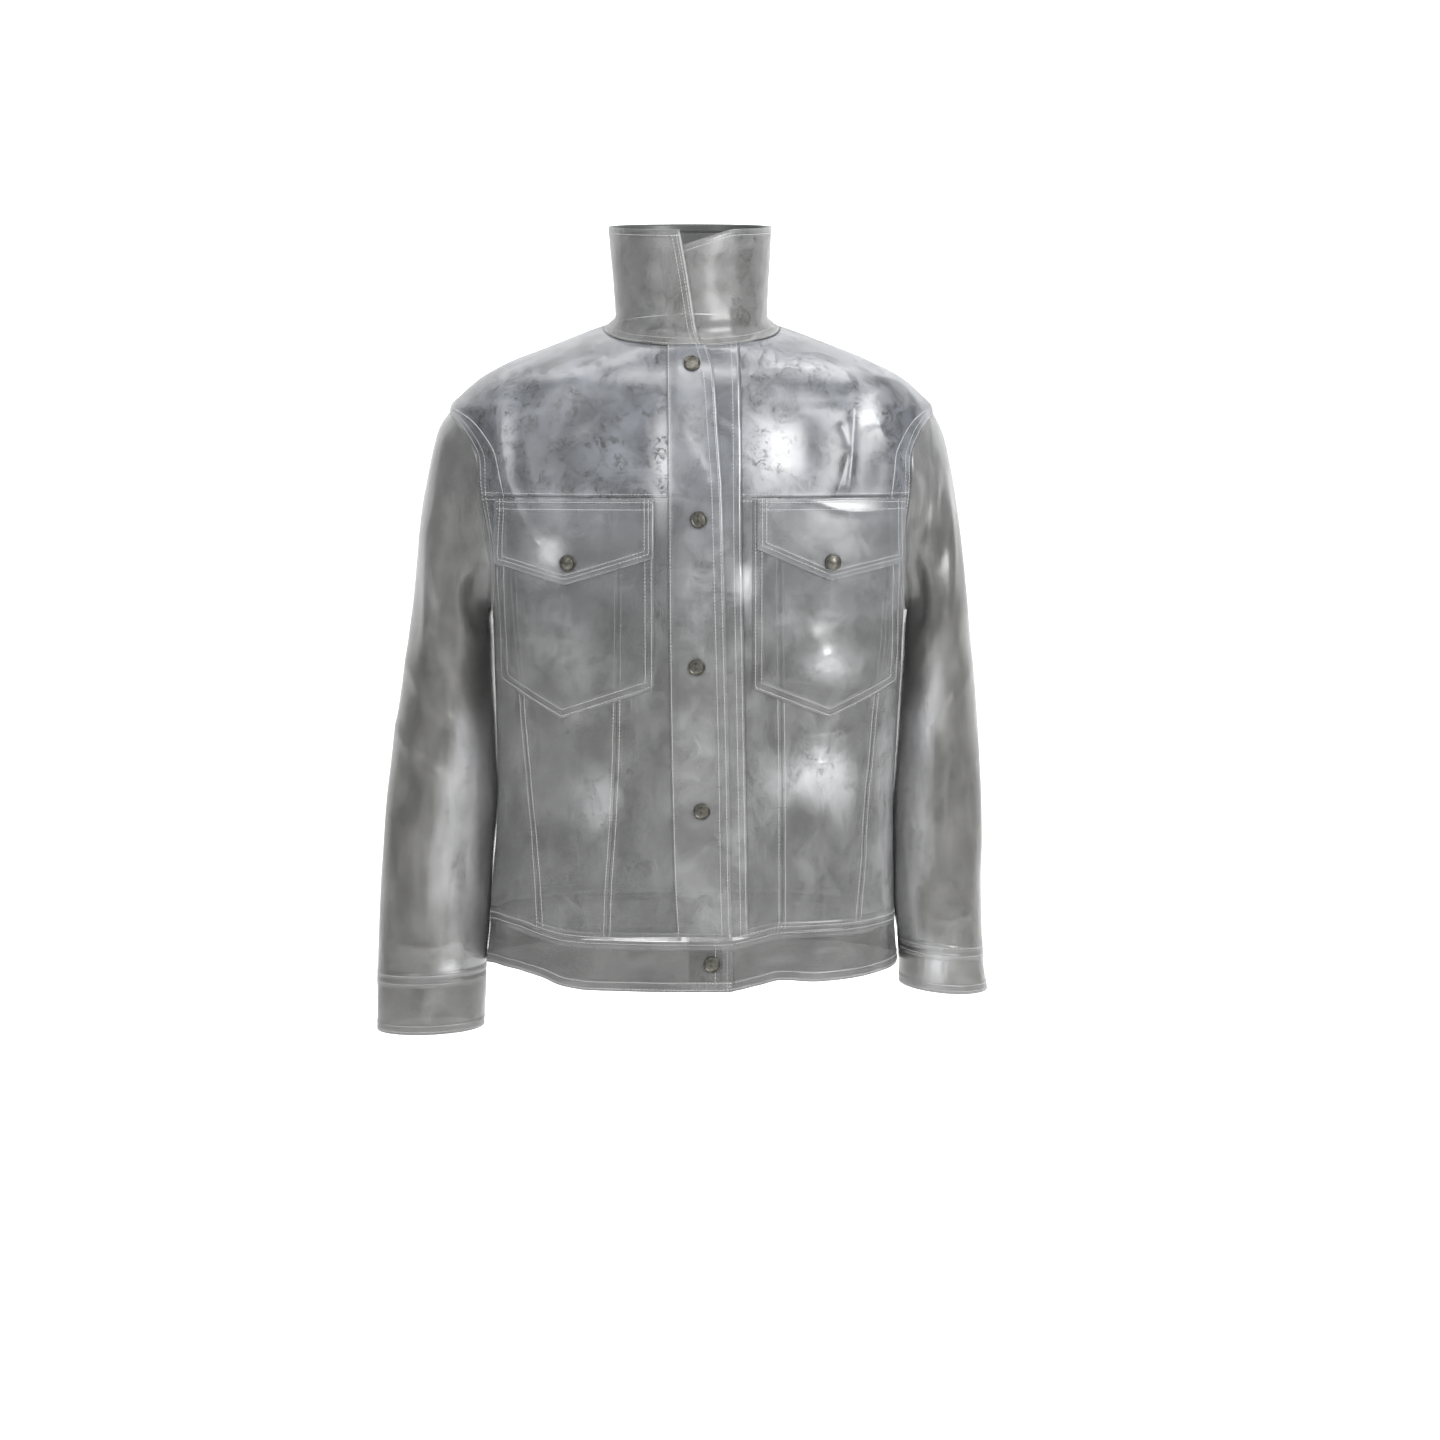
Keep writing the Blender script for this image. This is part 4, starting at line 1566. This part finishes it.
# its outer end
b = np.linspace(0.04, 0.98, 30)
for x in (0.0030, 0.0090):
    sew("waistband", "body", np.full(30, end) - math.degrees(x / 0.128), b, 0.0, LAYER)
strip("hem_band_end", "body", np.full(30, end), b, offsets(0.0003, 0.0115),
      LAYER + OVER * 0.9, "waistband", wall=OVER * 0.8)
for x in (0.0030,):
    sew("waistband", "body", np.full(30, start) + math.degrees(x / 0.128), b, 0.0, 0.0)

# top placket: seam on its left, turned facing on its free edge
v = np.linspace(1, NECK, 300)
top_path = (edge_phi(TOP_EDGE, v), v)
free_path = (edge_phi(FREE_EDGE, v), v)
under_path = (edge_phi(UNDER_EDGE, v), v)
strip("allowance_placket", "body", *top_path, offsets(-0.0036, 0.0085), -UNDER,
      "front_center_r")
strip("facing_placket", "body", *free_path, offsets(0.0002, 0.0125), LAYER - UNDER,
      "placket_top")
sew("placket_top", "body", *top_path, -0.0016, 0.00125)
sew("placket_top", "body", *free_path, 0.0030, LAYER)
sew("placket_top", "body", *free_path, 0.0098, LAYER)
strip("facing_under", "body", *under_path, offsets(0.0002, 0.0095), -UNDER, "placket_under")
sew("placket_under", "body", *under_path, 0.0024, 0.0)
sew("placket_under", "body", *under_path, 0.0078, 0.0)

# neck seam, on the body and on the collar
a = np.linspace(float(edge_phi(FREE_EDGE, np.array([NECK]))[0]),
                360 + float(edge_phi(TOP_EDGE, np.array([NECK]))[0]), 500)
strip("allowance_neck", "body", a, np.full(500, NECK), offsets(-0.0095, -0.0003), -UNDER,
      "back")
u = np.linspace(0, 1, 500)
phi, s = collar_at(u, 0.0)
for off in (0.0022, 0.0080):
    sew("collar", "neck", phi, s + 0.001, off, collar_lift)
# collar: top hem, both ends
phi, s = collar_at(u, 1.0)
strip("hem_collar_top", "neck", phi, s, offsets(-0.0085, -0.0002), 
      lambda x: collar_lift(x) - UNDER, "collar")
sew("collar", "neck", phi, s, -0.0058, collar_lift)
f = np.linspace(0.02, 0.98, 60)
phi, s = collar_at(np.full(60, 1.0), f)
strip("hem_collar_outer", "neck", phi, s, offsets(0.0002, 0.0105), LAYER - UNDER, "collar")
for off in (0.0040, 0.0082):
    sew("collar", "neck", phi, s, off, LAYER)
phi, s = collar_at(np.full(60, 0.0), f)
strip("hem_collar_under", "neck", phi, s, offsets(-0.0100, -0.0002), -UNDER, "collar")
sew("collar", "neck", phi, s, -0.0075, 0.0)

# pockets and flaps
for tag, pocket, flap in (("r", POCKET_R, FLAP_R), ("l", POCKET_L, FLAP_L)):
    for node, outline, top, edge_lift, insets, hem in (
            (f"pocket_{tag}", pocket, POCKET_TOP, POCKET_EDGE, (0.0026, 0.0085), 0.0112),
            (f"flap_{tag}", flap, POCKET_TOP + 0.001, FLAP_EDGE, (0.0052, 0.0090), 0.0118)):
        counts = patch_counts(outline, top, 0.0045)
        full = LAYER * (2 if node.startswith("flap") else 1)

        def rise(d):
            return edge_lift + (full - edge_lift) * smooth(d / 0.016)

        rows = []
        for inset in np.linspace(0.0002, hem, 5):
            p = along_corners(patch_corners(outline, top, inset), counts)
            a, b = front_angles(p[:, 0], p[:, 1])
            rows.append(skin(a, b, rise(inset) - UNDER))
        obj = film(f"hem_{node}", np.array(rows), FOLD, flip=False, wall=0.0004)
        made[node]["extra"].append(obj)
        for inset in insets:
            a, b = patch_line(outline, top, inset)
            stitches(node, "body", a, b, rise(inset) + 0.0001)
        if not node.startswith("flap"):
            continue
        # the band along the flap's top, sewn down with the yoke
        low, high = sorted((outline[0][0], outline[-1][0]))
        x = np.linspace(low + 0.0015, high - 0.0015, 60)
        up = rise(np.minimum(x - low, high - x))
        rows = []
        for drop in (0.0003, 0.0042, 0.0082, 0.0125):
            a, b = front_angles(x, np.full(60, top - drop))
            rows.append(skin(a, b, up - UNDER))
        made[node]["extra"].append(
            film(f"hem_top_{node}", np.array(rows), FOLD, flip=True, wall=0.0004))
        for drop in (0.0032, 0.0100):
            a, b = front_angles(x, np.full(60, top - drop))
            stitches(node, "body", a, b, lambda at, a=a: np.interp(at, a, up) + 0.0001)

# sleeves: underarm seam, cuff seam, cuff hem
for tag, side in (("r", -1), ("l", 1)):
    zone = f"arm_{tag}"
    t = np.linspace(2.6, 10.0, 200)
    strip(f"allowance_underarm_{tag}", zone, np.full(200, 180.0), t,
          offsets(-ALLOWANCE, ALLOWANCE), -UNDER, f"sleeve_{tag}")
    for off in (-SEAM_ROW, SEAM_ROW):
        sew(f"sleeve_{tag}", zone, np.full(200, 180.0), t, off, 0.0)
    psi = np.linspace(0, 360, 361)
    for name, t_at, span, rows in (
            ("allowance_cuff", 9.0, (-0.0085, 0.0085), (-0.0042, 0.0042)),
            ("hem_cuff", 10.0, (-0.0100, -0.0003), (-0.0030, -0.0088))):
        low, high = span
        sign = side
        strip(f"{name}_{tag}", zone, psi, np.full(361, t_at),
              tuple(sign * o for o in offsets(low, high)), OVER, f"cuff_{tag}",
              closed=True, step=0.005, wall=OVER - 0.00008)
        for off in rows:
            sew(f"cuff_{tag}", zone, psi, np.full(361, t_at), sign * off, OVER, closed=True)

for owner, rows in thread_rows.items():
    thread_object(owner, rows, finish["thread"])

# ======================================================================
# Snaps
# ======================================================================
def turned_object(name, profile, sides, material):
    """A closed form turned round Z from (radius, height) points, rim to rim."""
    verts, faces = [], []
    rings = []
    for radius, height in profile:
        if radius < 1e-7:
            rings.append([len(verts)])
            verts.append((0, 0, height))
        else:
            rings.append(list(range(len(verts), len(verts) + sides)))
            verts += [(radius * math.cos(2 * math.pi * k / sides),
                       radius * math.sin(2 * math.pi * k / sides), height)
                      for k in range(sides)]
    for a, b in zip(rings, rings[1:]):
        for k in range(sides):
            q = (k + 1) % sides
            if len(a) == 1:
                faces.append((a[0], b[k], b[q]))
            elif len(b) == 1:
                faces.append((a[q], a[k], b[0]))
            else:
                faces.append((a[q], a[k], b[k], b[q]))
    return mesh_object(name, verts, faces, material)


# a turned cap: shallow dish, raised rolled rim, and a skirt down to the film
DISH = ((0.0, 0.00185), (0.0018, 0.00182), (0.0036, 0.00172), (0.0048, 0.00158),
        (0.0055, 0.00143), (0.0059, 0.00138), (0.0062, 0.00148), (0.0066, 0.00178),
        (0.0070, 0.00194), (0.0074, 0.00190), (0.0078, 0.00165), (0.0080, 0.00125),
        (0.0080, 0.00070), (0.00785, 0.00040), (0.0070, 0.00025), (0.0030, 0.00020),
        (0.0030, -0.00050), (0.0, -0.00050))
# a domed cap, as on the left flap
DOME = ((0.0, 0.00300), (0.0014, 0.00292), (0.0028, 0.00268), (0.0040, 0.00228),
        (0.0050, 0.00178), (0.0056, 0.00146), (0.0060, 0.00138), (0.0063, 0.00150),
        (0.0067, 0.00178), (0.0071, 0.00190), (0.0075, 0.00182), (0.0079, 0.00150),
        (0.0080, 0.00110), (0.0080, 0.00070), (0.00785, 0.00040), (0.0070, 0.00025),
        (0.0030, 0.00020), (0.0030, -0.00050), (0.0, -0.00050))
SOCKET = ((0.0, 0.00030), (0.0016, 0.00030), (0.0019, 0.00085), (0.0026, 0.00105),
          (0.0033, 0.00085), (0.0037, 0.00060), (0.0045, 0.00062), (0.0050, 0.00045),
          (0.0052, 0.00015), (0.0050, -0.00005), (0.0020, -0.00010), (0.0020, -0.00090),
          (0.0, -0.00090))
for place, x, z, layers, _ in SNAPS:
    phi, v = front_angles(x, z)
    n = Vector(normals(body_plain, phi, v, 0.05, 0.004))
    plain_point = body(phi, v, LAYER * layers + SNAP_GAP)
    push = skin(phi, v, LAYER * layers) - body(phi, v, LAYER * layers)
    for kind, profile, where, way in (
            ("cap", DOME if place.startswith("flap") else DISH, plain_point + push, n),
            ("back", SOCKET, body(phi, v, -WALL - SNAP_BACK_GAP) + push, -n)):
        obj = turned_object(f"press_{kind}_{place}", profile, 40, finish["cap"])
        obj.data.materials.append(finish["rim"])
        for poly in obj.data.polygons:
            r = math.hypot(poly.center.x, poly.center.y)
            if r > 0.0057:
                poly.material_index = 1
        obj.location = Vector(where)
        obj.rotation_mode = "QUATERNION"
        obj.rotation_quaternion = way.to_track_quat("Z", "Y")
        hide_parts(f"snap_{kind}_{place}")
        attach(obj, "root")

# ======================================================================
# Camera, light, stage
# ======================================================================
scene = bpy.context.scene
camera = bpy.data.objects.new("camera", bpy.data.cameras.new("camera"))
scene.collection.objects.link(camera)
camera.data.sensor_width = 36.0
camera.data.lens = 62.5
camera.location = EYE
camera.rotation_euler = (math.radians(PITCH), 0.0, 0.0)
scene.camera = camera

FLOOR = -1.42
# floor and backdrop: one sheet that curves up behind
profile = [(-3.2, FLOOR)]
profile += [(1.2 + 1.4 * math.sin(a), FLOOR + 1.4 - 1.4 * math.cos(a))
            for a in np.linspace(0, math.pi / 2, 17)]
profile += [(2.6, 4.2)]
points = np.array([[(x, y, z) for x in np.linspace(-5, 5, 5)] for y, z in profile])
m = Nodes("studio_white")
m.link(m.mix(m.noise(m.coord, 3.0, 2.0), (0.93, 0.93, 0.93), (0.96, 0.96, 0.96)),
       m.shader.inputs["Base Color"])
m.set(Roughness=0.95)
m.set(**{"Emission_Color": (1, 1, 1, 1), "Emission_Strength": 0.45})
m.mat.cycles.emission_sampling = "NONE"
floor = mesh_object("studio_floor", points.reshape(-1, 3),
                    grid_faces(points.shape[0], 5), m.mat)


def area_light(name, where, aim, size, power, colour=(1, 1, 1)):
    light = bpy.data.lights.new(name, "AREA")
    light.shape = "RECTANGLE"
    light.size, light.size_y = size
    light.energy = power
    light.color = colour
    obj = bpy.data.objects.new(name, light)
    obj.location = where
    way = Vector(aim) - Vector(where)
    obj.rotation_euler = way.to_track_quat("-Z", "Y").to_euler()
    scene.collection.objects.link(obj)
    return obj


area_light("overhead", (0.1, -1.6, 1.9), (0, 0, -0.25), (1.2, 0.22), 17)
area_light("key_left", (-1.6, -1.9, 1.1), (0, 0, -0.25), (0.35, 1.1), 20)
area_light("key_right", (1.6, -1.9, 0.7), (0, 0, -0.25), (1.0, 1.3), 78)
area_light("backdrop_glow", (0.0, 0.6, 2.4), (0, 2.4, -0.4), (3.0, 1.0), 90)

world = bpy.data.worlds.new("studio")
scene.world = world
world.use_nodes = True
world.node_tree.nodes["Background"].inputs["Color"].default_value = (1, 1, 1, 1)
world.node_tree.nodes["Background"].inputs["Strength"].default_value = 0.47

scene.view_settings.view_transform = "Standard"
scene.view_settings.look = "None"
scene.cycles.transparent_max_bounces = 32
scene.cycles.max_bounces = 5
scene.cycles.diffuse_bounces = 2
scene.cycles.glossy_bounces = 3
scene.cycles.denoising_input_passes = "RGB"
scene.cycles.caustics_reflective = False
scene.cycles.caustics_refractive = False
